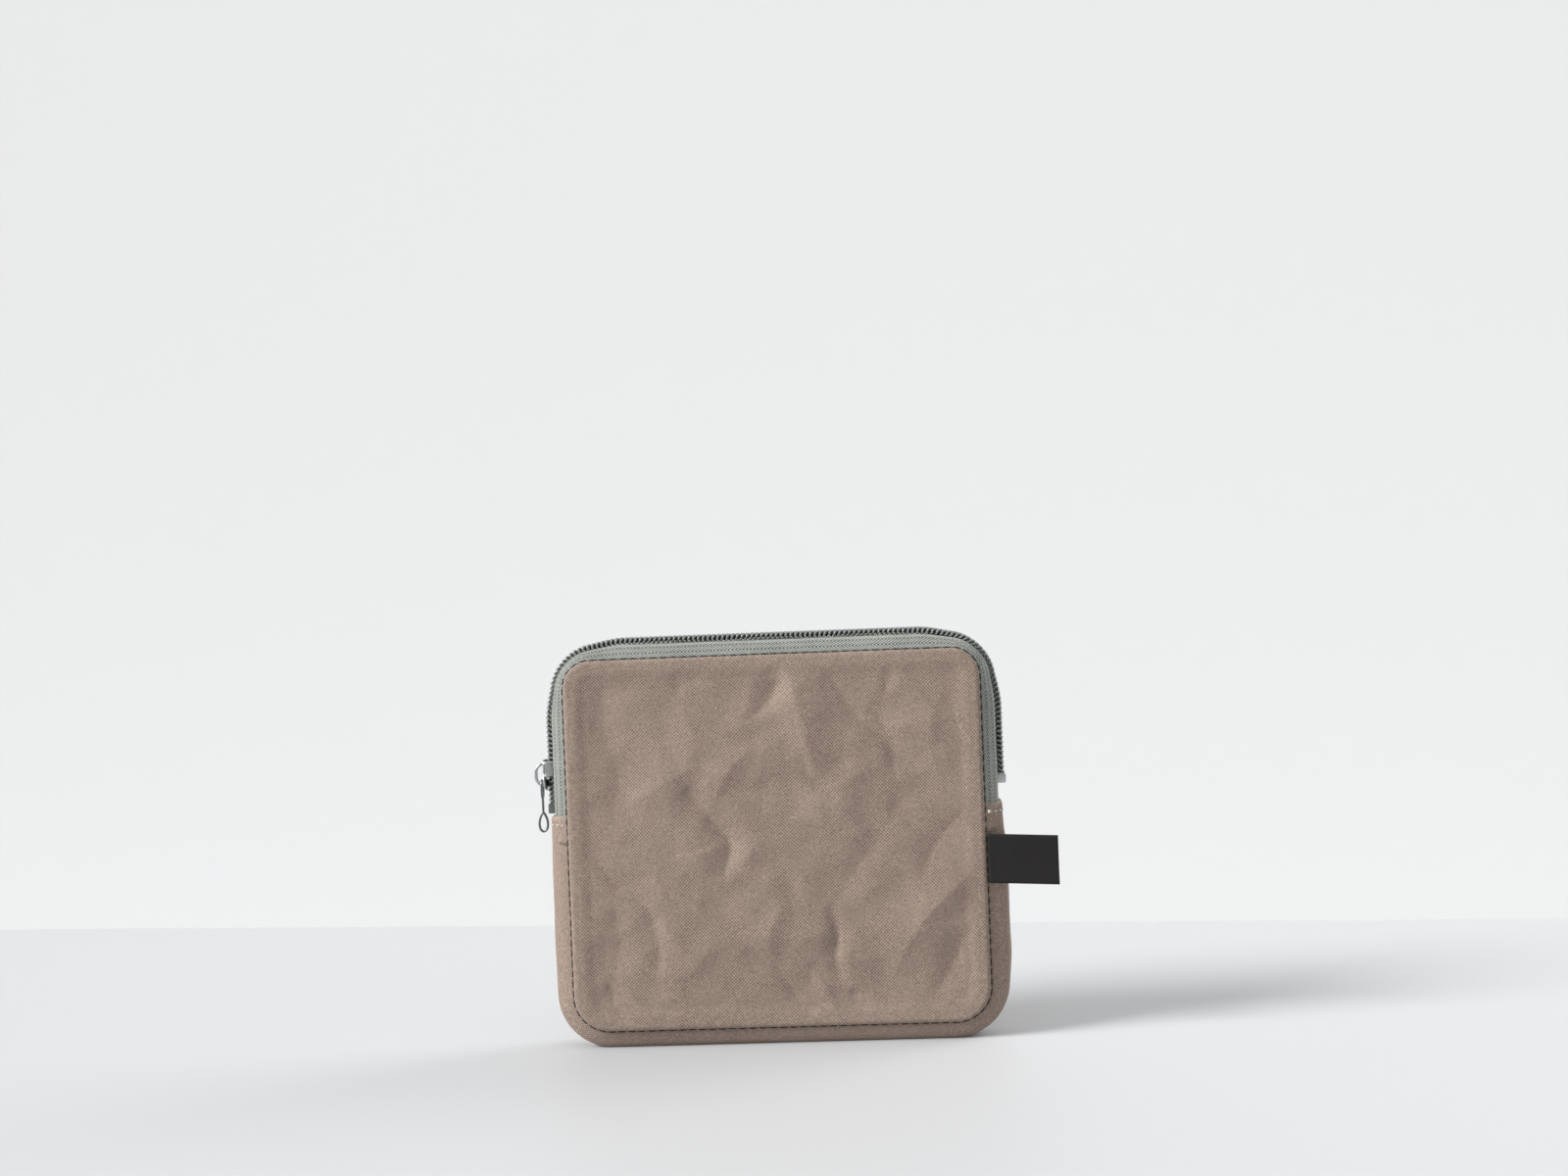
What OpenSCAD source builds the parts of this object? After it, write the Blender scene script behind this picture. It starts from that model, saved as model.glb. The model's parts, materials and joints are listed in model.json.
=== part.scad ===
// Zippered pouch: two flat fabric panels, a side strip that bows outwards between
// them, and a coil zip that runs up the left side, over the top and down the right.
// Millimetres, +Z up, the front panel faces -Y, the origin is the middle of the base.
// "offset" below is the distance outwards from the seam outline of the panels.

/* [Panels] */
// Width of the front and back panels, seam to seam
panel_w = 128; // [100:1:180]
// Height of the front and back panels, seam to seam
panel_h = 114; // [95:1:160]
// Radius of the panels' corners at the seam
panel_corner_r = 11; // [8:0.5:20]
// Depth of the pouch over both panels
pouch_depth = 20; // [18:0.5:30]
// Thickness of the panel fabric
panel_t = 1; // [0.6:0.1:1.4]

/* [Side strip] */
// How far the side strip's outer face bows out past the seam
strip_bow = 5.6; // [4.4:0.1:7]
// Thickness of the side strip
strip_t = 1; // [0.6:0.1:1.3]
// Width of the flat middle of the side strip and of the zip
flat_w = 10; // [9:0.5:11]
// Distance from the end of the side strip down to the middle of the label
label_drop = 16.8; // [14:0.5:30]
// Width of the seam allowance turned in along the panels
allowance_w = 6; // [4:0.5:8]

/* [Zip] */
// Gap between the tape and the side strip that laps over it
lap_clear = 0.1; // [0:0.05:0.3]
// Thickness of the zip tape
tape_t = 0.6; // [0.4:0.05:0.8]
// Length of tape tucked under each end of the side strip
tape_tuck = 6; // [3:0.5:10]
// Width over both rows of the coil
chain_w = 5.9; // [5.4:0.1:7.1]
// Thickness of the coil on the tape
chain_t = 2.3; // [1.8:0.1:2.6]
// Gap between the two rows that the slider's post runs in
chain_gap = 1.1; // [1:0.05:1.4]
// Length of each stop along the coil
stop_l = 3; // [2:0.1:4]
// Distance from the end of the side strip up to the top stops
stop_lift = 0.6; // [0.2:0.1:2]
// Distance from the end of the side strip up to the bottom stop
bottom_stop_lift = 5.5; // [1:0.5:8]

/* [Mouth] */
// Distance from the start of the top corners down to the line the mouth folds about
fold_drop = 9.2; // [4:0.1:12]
// Gap between lower and upper pieces at the fold
fold_gap = 0.8; // [0.7:0.1:1.2]

/* [Slider] */
// Length of the slider along the zip
slider_l = 9.6; // [8:0.1:12]
// Distance from the fold line down to the top of the slider
slider_drop = 10.2; // [8:0.1:14]
// Distance from the bottom of the slider down to the top stops
slider_lift = 4.1; // [0.5:0.1:8]
// Thickness of each of the slider's two plates
plate_t = 1; // [0.8:0.1:1.2]
// Running clearance between the slider and the zip
slider_clear = 0.3; // [0.25:0.05:0.4]
// Thickness of the slider's side flanges
flange_t = 0.8; // [0.6:0.1:1]
// How much the slider widens on each side at its shoulder
shoulder_flare = 0.5; // [0:0.1:0.8]
// Height of the crown over the slider's outer plate
crown_h = 3; // [2.6:0.1:3.4]
// Length of the crown along the slider
crown_l = 7.4; // [7:0.1:9]
// Width of the crown
crown_w = 1.8; // [1.4:0.1:2.2]
// Thickness of the crown
crown_t = 0.8; // [0.6:0.1:0.9]

/* [Pull] */
// Length of the pull from its cross bar to its tip
pull_l = 16.2; // [14:0.1:20]
// Thickness of the pull's strip
pull_t = 0.6; // [0.5:0.05:0.8]
// Width of the pull's neck
neck_w = 2.6; // [2:0.1:3.6]
// Length of the window that the crown passes through
window_l = 3.8; // [3.6:0.1:4.4]
// Width of each arm beside the window
arm_w = 0.7; // [0.5:0.1:1]
// Radius of the pull's cross bar
bar_r = 0.5; // [0.4:0.05:0.6]
// Clearance of the pull round the crown
pull_clear = 0.3; // [0.2:0.05:0.4]
// Distance from the coil out to the pull's loop
loop_clear = 0.4; // [0.3:0.1:1]
// Outer width of the loop at the pull's tip
loop_w = 3.4; // [3:0.1:3.8]
// Outer length of the loop at the pull's tip
loop_l = 6.4; // [5.4:0.1:7]
// Thickness of the loop's wall
loop_wall = 0.7; // [0.5:0.1:0.9]

/* [Label] */
// Height of the folded label's ribbon
label_h = 15; // [8:0.5:25]
// Length of label that shows outside the seam
label_l = 20.5; // [10:0.5:30]
// Thickness of the folded label, two layers
label_t = 0.8; // [0.4:0.1:0.8]
// Angle by which the label droops
label_droop = 3; // [0:0.5:8]

/* [Seams] */
// Thickness of the binding over the seam allowance
binding_t = 0.5; // [0.3:0.1:0.8]
// Width of the binding on the face of the allowance
binding_w = 4; // [2:0.5:5]
// Thickness of the seam's thread
thread_d = 0.5; // [0.3:0.1:0.6]
// Thickness of the light thread at the ends of the side strip
tack_d = 0.4; // [0.3:0.05:0.5]
// Length of one light stitch
tack_l = 1.6; // [1:0.1:2.4]
// Distance from one light stitch to the next
tack_pitch = 3; // [2.8:0.1:3.5]

/* [Hidden] */

$fn = 64;
curve_steps = 7;
seam_y = pouch_depth / 2 - panel_t;      // inner face of a panel
seam_low_z = strip_bow;                  // the pouch rests on the strip's outer face
seam_top_z = seam_low_z + panel_h;
side_x = panel_w / 2;

// Places along a leg of the zip, each from the one above it.
fold_z = seam_top_z - panel_corner_r - fold_drop;
low_top_z = fold_z - fold_gap / 2;       // where lower pieces end
up_low_z = fold_z + fold_gap / 2;        // where upper pieces start
slider_z = fold_z - slider_drop - slider_l / 2;
top_stop_z = slider_z - slider_l / 2 - slider_lift;
strip_end_z = top_stop_z - stop_l - stop_lift;
bottom_stop_z = strip_end_z + bottom_stop_lift;
label_z = strip_end_z - label_drop;

// Places across the zip on a straight leg, as offsets.
tape_bow = strip_bow - strip_t - lap_clear;
tape_in = tape_bow - tape_t;
chain_out = tape_bow + chain_t;
plate_out_in = chain_out + slider_clear;
plate_out_out = plate_out_in + plate_t;
plate_in_out = tape_in - slider_clear;
plate_in_in = plate_in_out - plate_t;
stop_skin = 0.4;                         // metal of a stop outside the coil
stop_grip = 0.7;                         // metal of a stop behind the tape

canvas = [0.58, 0.5, 0.45];
canvas_back = [0.53, 0.46, 0.41];
tape_grey = [0.56, 0.59, 0.56];
coil_grey = [0.3, 0.33, 0.31];
silver = [0.74, 0.76, 0.76];
gunmetal = [0.42, 0.45, 0.45];
black_ribbon = [0.12, 0.11, 0.1];
dark_thread = [0.15, 0.13, 0.12];
ivory_thread = [0.93, 0.91, 0.85];

// ---- profiles across the depth, drawn as (offset, y) ----

// Offset of a bowed face at depth y: flat in the middle, curving in to the seam.
function bow_at(y, bow) =
    let (past = max(0, abs(y) - flat_w / 2), span = seam_y - flat_w / 2)
    bow * (1 - pow(past / span, 2));
// Slope of that face.
function bow_slope(y, bow) =
    let (past = max(0, abs(y) - flat_w / 2), span = seam_y - flat_w / 2)
    -2 * bow * past / (span * span) * sign(y);
// The point under the face at y, a thickness t in along the normal.
function under_face(y, bow, t) =
    let (s = bow_slope(y, bow), n = sqrt(1 + s * s))
    [bow_at(y, bow) - t / n, y + s * t / n];
// The depths at which a curved side is drawn, from the flat's edge to the seam.
curve_y = [for (i = [0 : curve_steps]) flat_w / 2 + (seam_y - flat_w / 2) * i / curve_steps];

// One side of a bowed band, from depth y_in to the front seam, with its allowance.
module half_band_profile(bow, t, y_in) {
    mirror([0, 1]) {
        polygon(concat(
            [[bow - t, y_in], [bow, y_in]],
            [for (y = curve_y) [bow_at(y, bow), y]],
            [for (i = [curve_steps : -1 : 0]) under_face(curve_y[i], bow, t)]
        ));
        translate([-allowance_w, seam_y - t]) square([allowance_w, t]);
    }
}

module strip_profile() {
    half_band_profile(strip_bow, strip_t, 0);
    mirror([0, 1]) half_band_profile(strip_bow, strip_t, 0);
}

module tape_profile() {
    half_band_profile(tape_bow, tape_t, chain_gap / 2);
}

// The flat edge of the tape that goes on under the end of the side strip.
module tuck_profile() {
    translate([tape_in, -flat_w / 2]) square([tape_t, flat_w / 2 - chain_gap / 2]);
}

module coil_profile() {
    translate([tape_bow, -chain_w / 2]) square([chain_t, chain_w / 2 - chain_gap / 2]);
}

// Folded round the raw edge of an allowance of thickness t: a face and an edge strip.
module binding_profile(t) {
    mirror([0, 1]) translate([-allowance_w - binding_t, seam_y - t - binding_t]) {
        square([binding_w, binding_t]);
        square([binding_t, t + binding_t]);
    }
}

module thread_profile() {
    translate([0, -seam_y - (panel_t + thread_d) / 2]) square([thread_d, thread_d]);
}

// ---- sweeps along the seam outline; a child is a profile as (offset, y) ----

module right_leg(z0, z1) {
    translate([side_x, 0, z0]) linear_extrude(z1 - z0) children();
}

module both_legs(z0, z1) {
    right_leg(z0, z1) children();
    mirror([1, 0, 0]) right_leg(z0, z1) children();
}

// A quarter turn about an axis along Y, from pointing right to pointing up.
module quarter_turn() {
    rotate([90, 0, 0]) rotate_extrude(angle = 90, $fn = 96)
        mirror([0, 1]) translate([panel_corner_r, 0]) children();
}

module top_sweep() {
    run = panel_w - 2 * panel_corner_r;
    both_legs(up_low_z, seam_top_z - panel_corner_r) children();
    for (side = [0, 1])
        mirror([side, 0, 0])
            translate([side_x - panel_corner_r, 0, seam_top_z - panel_corner_r])
                quarter_turn() children();
    translate([run / 2, 0, seam_top_z])
        rotate([0, -90, 0]) linear_extrude(run) children();
}

module bottom_sweep(z_end) {
    run = panel_w - 2 * panel_corner_r;
    both_legs(seam_low_z + panel_corner_r, z_end) children();
    for (side = [0, 1])
        mirror([side, 0, 0])
            translate([side_x - panel_corner_r, 0, seam_low_z + panel_corner_r])
                mirror([0, 0, 1]) quarter_turn() children();
    translate([run / 2, 0, seam_low_z])
        mirror([0, 0, 1]) rotate([0, -90, 0]) linear_extrude(run) children();
}

module to_back() {
    mirror([0, 1, 0]) children();
}

// ---- panels ----

// Seam outline of a panel in the XZ plane, rounded at all four corners.
module panel_outline() {
    run_w = panel_w - 2 * panel_corner_r;
    run_h = panel_h - 2 * panel_corner_r;
    translate([-run_w / 2, seam_low_z]) square([run_w, panel_h]);
    translate([-side_x, seam_low_z + panel_corner_r]) square([panel_w, run_h]);
    for (x = [-run_w / 2, run_w / 2])
        for (z = [seam_low_z + panel_corner_r, seam_top_z - panel_corner_r])
            translate([x, z]) circle(panel_corner_r);
}

// The part of a panel between two heights, at the front.
module panel_between(z0, z1) {
    translate([0, -seam_y, 0]) rotate([90, 0, 0]) linear_extrude(panel_t)
        intersection() {
            panel_outline();
            translate([-side_x, z0]) square([panel_w, z1 - z0]);
        }
}

module front_panel_lower() {
    color(canvas) panel_between(seam_low_z, low_top_z);
}

module back_panel_lower() {
    color(canvas_back) to_back() panel_between(seam_low_z, low_top_z);
}

module front_panel_upper() {
    color(canvas) panel_between(up_low_z, seam_top_z);
}

module back_panel_upper() {
    color(canvas_back) to_back() panel_between(up_low_z, seam_top_z);
}

// ---- side strip and label ----

module gusset_strip() {
    color(canvas_back) bottom_sweep(strip_end_z) strip_profile();
}

// A folded ribbon that comes out of the front seam on the right.
module side_label() {
    color(black_ribbon)
        translate([side_x + thread_d + label_h / 2 * sin(label_droop), -seam_y, label_z])
            rotate([0, label_droop, 0])
                translate([0, -label_t, -label_h / 2])
                    cube([label_l, label_t, label_h]);
}

// A row of light stitches over the strip near each of its ends.
tack_row = 2;                            // stitches each side of the middle one
tack_in_z = 2.6;                         // below the end of the strip
knot_r = 0.6;

// Puts a child, drawn about the origin, a height h proud of the strip at depth y.
module on_strip(y, h) {
    turn = atan(bow_slope(y, strip_bow));
    translate([side_x + bow_at(y, strip_bow), y, strip_end_z - tack_in_z])
        rotate([0, 0, -turn]) translate([h, 0, 0]) children();
}

module tacks(first) {
    for (i = [first : tack_row])
        on_strip(i * tack_pitch, tack_d / 2)
            rotate([90, 0, 0]) cylinder(h = tack_l, r = tack_d / 2, center = true);
}

module left_end_stitches() {
    color(ivory_thread) mirror([1, 0, 0]) tacks(-tack_row);
}

// On the right the row ends in a knot near the front seam.
module right_end_stitches() {
    color(ivory_thread) {
        tacks(1 - tack_row);
        on_strip(-tack_row * tack_pitch, knot_r) sphere(knot_r);
    }
}

// ---- zip ----

module tape_below_fold() {
    both_legs(strip_end_z, low_top_z) tape_profile();
    both_legs(strip_end_z - tape_tuck, strip_end_z) tuck_profile();
}

// On the left the coil ends at its top stop, on the right at the bottom stop.
module coil_below_fold() {
    mirror([1, 0, 0]) right_leg(top_stop_z, low_top_z) coil_profile();
    right_leg(bottom_stop_z + stop_l, low_top_z) coil_profile();
}

module front_tape_lower() {
    color(tape_grey) tape_below_fold();
}

module back_tape_lower() {
    color(tape_grey) to_back() tape_below_fold();
}

module front_tape_upper() {
    color(tape_grey) top_sweep() tape_profile();
}

module back_tape_upper() {
    color(tape_grey) to_back() top_sweep() tape_profile();
}

module front_coil_lower() {
    color(coil_grey) coil_below_fold();
}

module back_coil_lower() {
    color(coil_grey) to_back() coil_below_fold();
}

module front_coil_upper() {
    color(coil_grey) top_sweep() coil_profile();
}

module back_coil_upper() {
    color(coil_grey) to_back() top_sweep() coil_profile();
}

// A clip folded over the edge of one tape, at the closed end of the coil.
module top_stop() {
    z0 = top_stop_z - stop_l;
    inner_w = chain_w / 2 - chain_gap / 2;
    mirror([1, 0, 0]) right_leg(z0, top_stop_z) difference() {
        translate([tape_in - stop_grip, -chain_w / 2])
            square([chain_t + tape_t + stop_grip, inner_w]);
        translate([tape_in, -chain_w / 2]) square([tape_t, inner_w]);
    }
    mirror([1, 0, 0]) right_leg(z0, top_stop_z)
        translate([tape_in - stop_grip, -chain_gap / 2])
            square([chain_t + tape_t + stop_grip, stop_skin / 2]);
}

module front_top_stop() {
    color(gunmetal) top_stop();
}

module back_top_stop() {
    color(gunmetal) to_back() top_stop();
}

// A clamp across both tapes: a cap over the coil, a web between them, a plate behind.
module bottom_stop() {
    half_w = chain_w / 2 + stop_skin;
    color(silver) right_leg(bottom_stop_z, bottom_stop_z + stop_l) {
        translate([tape_bow, -half_w]) square([chain_t + stop_skin, 2 * half_w]);
        translate([tape_in - stop_grip, -chain_gap / 2])
            square([tape_t + stop_grip, chain_gap]);
        translate([tape_in - stop_grip, -half_w]) square([stop_grip, 2 * half_w]);
    }
}

// ---- seam threads and bindings ----

module front_seam_thread_lower() {
    color(dark_thread) bottom_sweep(low_top_z) thread_profile();
}

module back_seam_thread_lower() {
    color(dark_thread) to_back() bottom_sweep(low_top_z) thread_profile();
}

module front_seam_thread_upper() {
    color(dark_thread) top_sweep() thread_profile();
}

module back_seam_thread_upper() {
    color(dark_thread) to_back() top_sweep() thread_profile();
}

// Along the side strip the binding covers the strip's allowance, above it the tape's.
module binding_below_fold() {
    bottom_sweep(strip_end_z) binding_profile(strip_t);
    both_legs(strip_end_z, low_top_z) binding_profile(tape_t);
}

module front_binding_lower() {
    color(dark_thread) binding_below_fold();
}

module back_binding_lower() {
    color(dark_thread) to_back() binding_below_fold();
}

module front_binding_upper() {
    color(dark_thread) top_sweep() binding_profile(tape_t);
}

module back_binding_upper() {
    color(dark_thread) to_back() top_sweep() binding_profile(tape_t);
}

// ---- slider and pull, on the left leg; children are drawn as (offset, y, z) ----

module on_slider() {
    mirror([1, 0, 0]) translate([side_x, 0, slider_z]) children();
}

// Outline of a slider plate as (y, z), widest at the shoulder below.
module plate_outline(inset) {
    tail = chain_w / 2 + slider_clear + flange_t - inset;
    shoulder = tail + shoulder_flare;
    waist_z = -slider_l / 8;
    polygon([
        [-tail, slider_l / 2], [-tail, waist_z], [-shoulder, -slider_l / 2],
        [shoulder, -slider_l / 2], [tail, waist_z], [tail, slider_l / 2]
    ]);
}

// Extrudes an outline drawn as (y, z) from offset x0 to offset x1.
module across(x0, x1) {
    translate([x0, 0, 0]) rotate([90, 0, 90]) linear_extrude(x1 - x0) children();
}

// Extrudes an outline drawn as (offset, z) to a width about the middle depth.
module widen(w) {
    rotate([90, 0, 0]) linear_extrude(w, center = true) children();
}

module slider_body() {
    flange_in = tape_bow + slider_clear;
    post_t = chain_gap - 2 * slider_clear;
    post_l = slider_l / 3;
    color(silver) on_slider() {
        across(plate_out_in, plate_out_out) plate_outline(0);
        across(flange_in, plate_out_in) difference() {
            plate_outline(0);
            plate_outline(flange_t);
        }
        across(plate_in_in, plate_in_out) plate_outline(0);
        translate([plate_in_out, -post_t / 2, -slider_l / 2 + plate_t])
            cube([plate_out_in - plate_in_out, post_t, post_l]);
    }
}

// An arch of height h on the outer plate, its ends centred as the crown's are.
module arch_outline(h) {
    end_z = crown_l / 2 - crown_h;
    intersection() {
        union() {
            for (z = [-end_z, end_z]) translate([plate_out_out, z]) circle(h);
            translate([plate_out_out, -end_z]) square([h, 2 * end_z]);
        }
        translate([plate_out_out, -crown_l]) square([2 * h, 2 * crown_l]);
    }
}

module slider_crown() {
    color(silver) on_slider() widen(crown_w) difference() {
        arch_outline(crown_h);
        arch_outline(crown_h - crown_t);
    }
}

// The pull's cross bar lies under the lower bend of the crown, clear all round.
bar_rise = pull_clear + bar_r;
bar_reach = crown_h - crown_t - pull_clear - bar_r;
pivot_x = plate_out_out + bar_rise;
pivot_z = -(crown_l / 2 - crown_h) - sqrt(bar_reach * bar_reach - bar_rise * bar_rise);
window_w = crown_w + 4 * pull_clear;
arm_out = window_w / 2 + arm_w;
head_l = window_l + arm_w;
loop_x = chain_out + loop_clear + loop_w / 2;

module stadium(w, l) {
    translate([0, -(l - w) / 2]) circle(w / 2);
    translate([0, (l - w) / 2]) circle(w / 2);
    translate([-w / 2, -(l - w) / 2]) square([w, l - w]);
}

module pull_head_outline() {
    difference() {
        translate([-arm_out, -head_l]) square([2 * arm_out, head_l + bar_r]);
        translate([-window_w / 2, -window_l]) square([window_w, window_l + 2 * bar_r]);
    }
}

// A strip with a window at its head and a loop at its tip that passes over the coil.
module pull_tab() {
    neck_end = pull_l - loop_l + loop_wall;
    color(gunmetal) on_slider() translate([pivot_x, 0, pivot_z]) {
        rotate([90, 0, 0]) cylinder(h = 2 * arm_out, r = bar_r, center = true);
        across(-pull_t / 2, pull_t / 2) pull_head_outline();
        across(-pull_t / 2, pull_t / 2)
            translate([-neck_w / 2, -neck_end]) square([neck_w, neck_end - head_l]);
        translate([loop_x - pivot_x, 0, -pull_l + loop_l / 2]) widen(neck_w) difference() {
            stadium(loop_w, loop_l);
            stadium(loop_w - 2 * loop_wall, loop_l - 2 * loop_wall);
        }
    }
}

front_panel_lower();
back_panel_lower();
gusset_strip();
side_label();
front_tape_lower();
back_tape_lower();
front_coil_lower();
back_coil_lower();
front_top_stop();
back_top_stop();
bottom_stop();
front_binding_lower();
back_binding_lower();
front_seam_thread_lower();
back_seam_thread_lower();
left_end_stitches();
right_end_stitches();
front_panel_upper();
front_tape_upper();
front_coil_upper();
front_binding_upper();
front_seam_thread_upper();
back_panel_upper();
back_tape_upper();
back_coil_upper();
back_binding_upper();
back_seam_thread_upper();
slider_body();
slider_crown();
pull_tab();
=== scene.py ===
"""A zippered canvas pouch: its cloth, zip, fittings and stage, built round the fixed frame of its parts."""

import json
import math
from contextlib import contextmanager

import bmesh
import bpy
import numpy as np
from bpy.props import FloatProperty, FloatVectorProperty, PointerProperty
from mathutils import Matrix, Vector, noise


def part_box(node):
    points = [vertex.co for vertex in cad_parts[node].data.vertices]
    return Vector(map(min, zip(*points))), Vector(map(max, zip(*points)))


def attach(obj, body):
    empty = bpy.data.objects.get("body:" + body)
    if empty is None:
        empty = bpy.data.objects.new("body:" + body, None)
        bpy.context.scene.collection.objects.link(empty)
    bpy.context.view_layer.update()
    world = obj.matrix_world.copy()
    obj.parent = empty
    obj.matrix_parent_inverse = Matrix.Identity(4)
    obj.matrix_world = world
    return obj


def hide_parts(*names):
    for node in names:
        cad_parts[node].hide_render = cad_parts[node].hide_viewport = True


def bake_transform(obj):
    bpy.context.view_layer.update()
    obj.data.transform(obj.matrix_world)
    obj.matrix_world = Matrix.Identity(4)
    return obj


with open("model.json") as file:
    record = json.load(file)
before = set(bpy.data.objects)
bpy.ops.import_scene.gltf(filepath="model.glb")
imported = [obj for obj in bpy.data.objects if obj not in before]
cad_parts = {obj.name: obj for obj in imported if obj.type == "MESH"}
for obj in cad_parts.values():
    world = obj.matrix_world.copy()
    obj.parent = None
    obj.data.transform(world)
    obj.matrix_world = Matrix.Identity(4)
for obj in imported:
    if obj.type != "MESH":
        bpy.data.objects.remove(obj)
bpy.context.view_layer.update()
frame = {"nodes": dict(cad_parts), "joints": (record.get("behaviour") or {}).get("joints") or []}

bl_info = {
    "name": "Zippered Canvas Pouch",
    "version": (1, 0, 0),
    "blender": (4, 5, 0),
    "location": "3D View > Sidebar > Pouch",
    "description": "Builds the cloth, zip and fittings of a zippered pouch round its frame of parts",
    "category": "Object",
}

MM = 0.001

# Places and sizes that the frame gives.
PANEL_LOW, PANEL_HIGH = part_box("front_panel_lower")
MOUTH_LOW, MOUTH_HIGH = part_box("front_panel_upper")
STRIP_LOW, STRIP_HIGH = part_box("gusset_strip")
TAPE_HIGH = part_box("front_tape_upper")[1]
COIL_LOW, COIL_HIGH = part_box("front_coil_upper")
LABEL_LOW, LABEL_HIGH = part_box("side_label")
SEAM_HALF = PANEL_HIGH.x
SEAM_LOW = PANEL_LOW.z
SEAM_TOP = MOUTH_HIGH.z
SEAM_Y = -PANEL_HIGH.y
STRIP_BOW = SEAM_LOW - STRIP_LOW.z
STRIP_END = STRIP_HIGH.z
TAPE_OUT = TAPE_HIGH.z - SEAM_TOP
TAPE_EDGE = -TAPE_HIGH.y
COIL_OUT = COIL_HIGH.z - SEAM_TOP
COIL_OUTER = -COIL_LOW.y
COIL_LEFT_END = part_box("front_top_stop")[1].z
COIL_RIGHT_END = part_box("bottom_stop")[1].z
SLIDER_LOW, SLIDER_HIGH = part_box("slider_body")
PULL_LOW, PULL_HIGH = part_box("pull_tab")
CLAMP_LOW, CLAMP_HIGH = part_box("bottom_stop")
TACK_LOW, TACK_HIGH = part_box("left_end_stitches")
SIDES = {"front": -1, "back": 1}


# ---------------------------------------------------------------- sizes and colours

def length(name, description, default):
    return FloatProperty(name=name, description=description, default=default, min=0.0, unit="LENGTH")


def share(name, description, default):
    return FloatProperty(name=name, description=description, default=default, min=0.0)


def paint(name, description, red, green, blue):
    """A colour property from its 0 to 255 display values."""
    def linear(v):
        v = v / 255
        return v / 12.92 if v <= 0.04045 else ((v + 0.055) / 1.055) ** 2.4
    colour = (linear(red), linear(green), linear(blue))
    return FloatVectorProperty(name=name, description=description, default=colour,
                               subtype="COLOR", min=0.0, max=1.0)


class PouchCloth(bpy.types.PropertyGroup):
    """Sizes of the canvas pieces and tapes."""
    low_corner_r: length("Low corners", "Radius of a panel's bottom corners at the seam", 11 * MM)
    top_corner_r: length("Top corners", "Radius of a panel's top corners at the seam", 8.5 * MM)
    corner_cut: share("Corner cut", "Share of its offset that the zip loses in a top corner", 0.42)
    cut_reach: length("Cut reach", "Distance from a top corner at which the zip has its full offset", 17 * MM)
    canvas_t: length("Canvas", "Thickness of the waxed canvas", 0.5 * MM)
    tape_t: length("Tape", "Thickness of the zip tape", 0.5 * MM)
    edge_lift: length("Edge lift", "How far the panel stands up over the seam allowance", 0.95 * MM)
    edge_band: length("Edge band", "Width of the raised band beside the seam", 6 * MM)
    pillow: length("Pillow", "How far the middle of a panel bulges", 1.3 * MM)
    fold_share: share("Folds", "Share of their listed height that the panels' folds have", 0.74)
    crumple: length("Crumple", "Height of the small uneven folds", 0.55 * MM)
    hem: length("Hem", "Length folded under at each end of the side strip", 8 * MM)
    right_bulge: length("Right bulge", "Extra bow of the side strip on the right", 1.2 * MM)
    left_bulge: length("Left bulge", "Extra bow of the side strip on the left", 0.3 * MM)
    flat_w: length("Flat width", "Width of the flat middle of the side strip", 10 * MM)


class PouchZip(bpy.types.PropertyGroup):
    """Sizes of the coil, the stitches and the label."""
    coil_pitch: length("Coil pitch", "Distance from one loop of the coil to the next", 1.43 * MM)
    coil_wire: length("Coil wire", "Diameter of the nylon wire", 0.8 * MM)
    coil_meet: length("Meet", "How far a row's heads reach past the middle", 0.35 * MM)
    stitch_pitch: length("Stitch pitch", "Distance from one seam stitch to the next", 3.1 * MM)
    stitch_l: length("Stitch length", "Length of thread that shows of a seam stitch", 2.4 * MM)
    stitch_d: length("Stitch thread", "Diameter of the seam thread", 0.46 * MM)
    label_t: length("Ribbon", "Thickness of the label's ribbon", 0.28 * MM)


class PouchColours(bpy.types.PropertyGroup):
    """Colours of the cloth, the zip and the fittings."""
    canvas: paint("Canvas", "Light tone of the waxed canvas", 162, 143, 130)
    canvas_shade: paint("Canvas shade", "Dark tone between the threads", 96, 81, 70)
    # Pale tone for wax rubbed along creases and edges, and for the painted highlight along fold crests and
    # the raised edge beside the seam.
    canvas_wear_and_highlight: paint("Canvas wear", "Rubbed tone along the creases", 184, 168, 155)
    tape: paint("Tape", "Light ribs of the zip tape", 178, 180, 172)
    tape_shade: paint("Tape shade", "Dark gaps of the zip tape", 52, 56, 51)
    coil: paint("Coil", "Nylon of the zip coil", 124, 130, 124)
    # The cord inside the coil is real, but its near-black tone is painted shade for the dark inside of the
    # coil between the loops.
    core: paint("Coil core", "Dark cord inside the coil", 30, 32, 30)
    seam: paint("Seam thread", "Dark thread of the seams", 28, 24, 22)
    light: paint("Light thread", "Pale thread of the end stitches", 226, 220, 206)
    ribbon: paint("Ribbon", "Black ribbon of the label", 23, 21, 20)
    binding: paint("Binding", "Cotton tape over the raw edges inside", 118, 106, 94)
    nickel: paint("Nickel", "Bright metal of the slider", 196, 199, 199)
    gunmetal: paint("Gunmetal", "Dark metal of the pull", 122, 129, 127)


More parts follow.
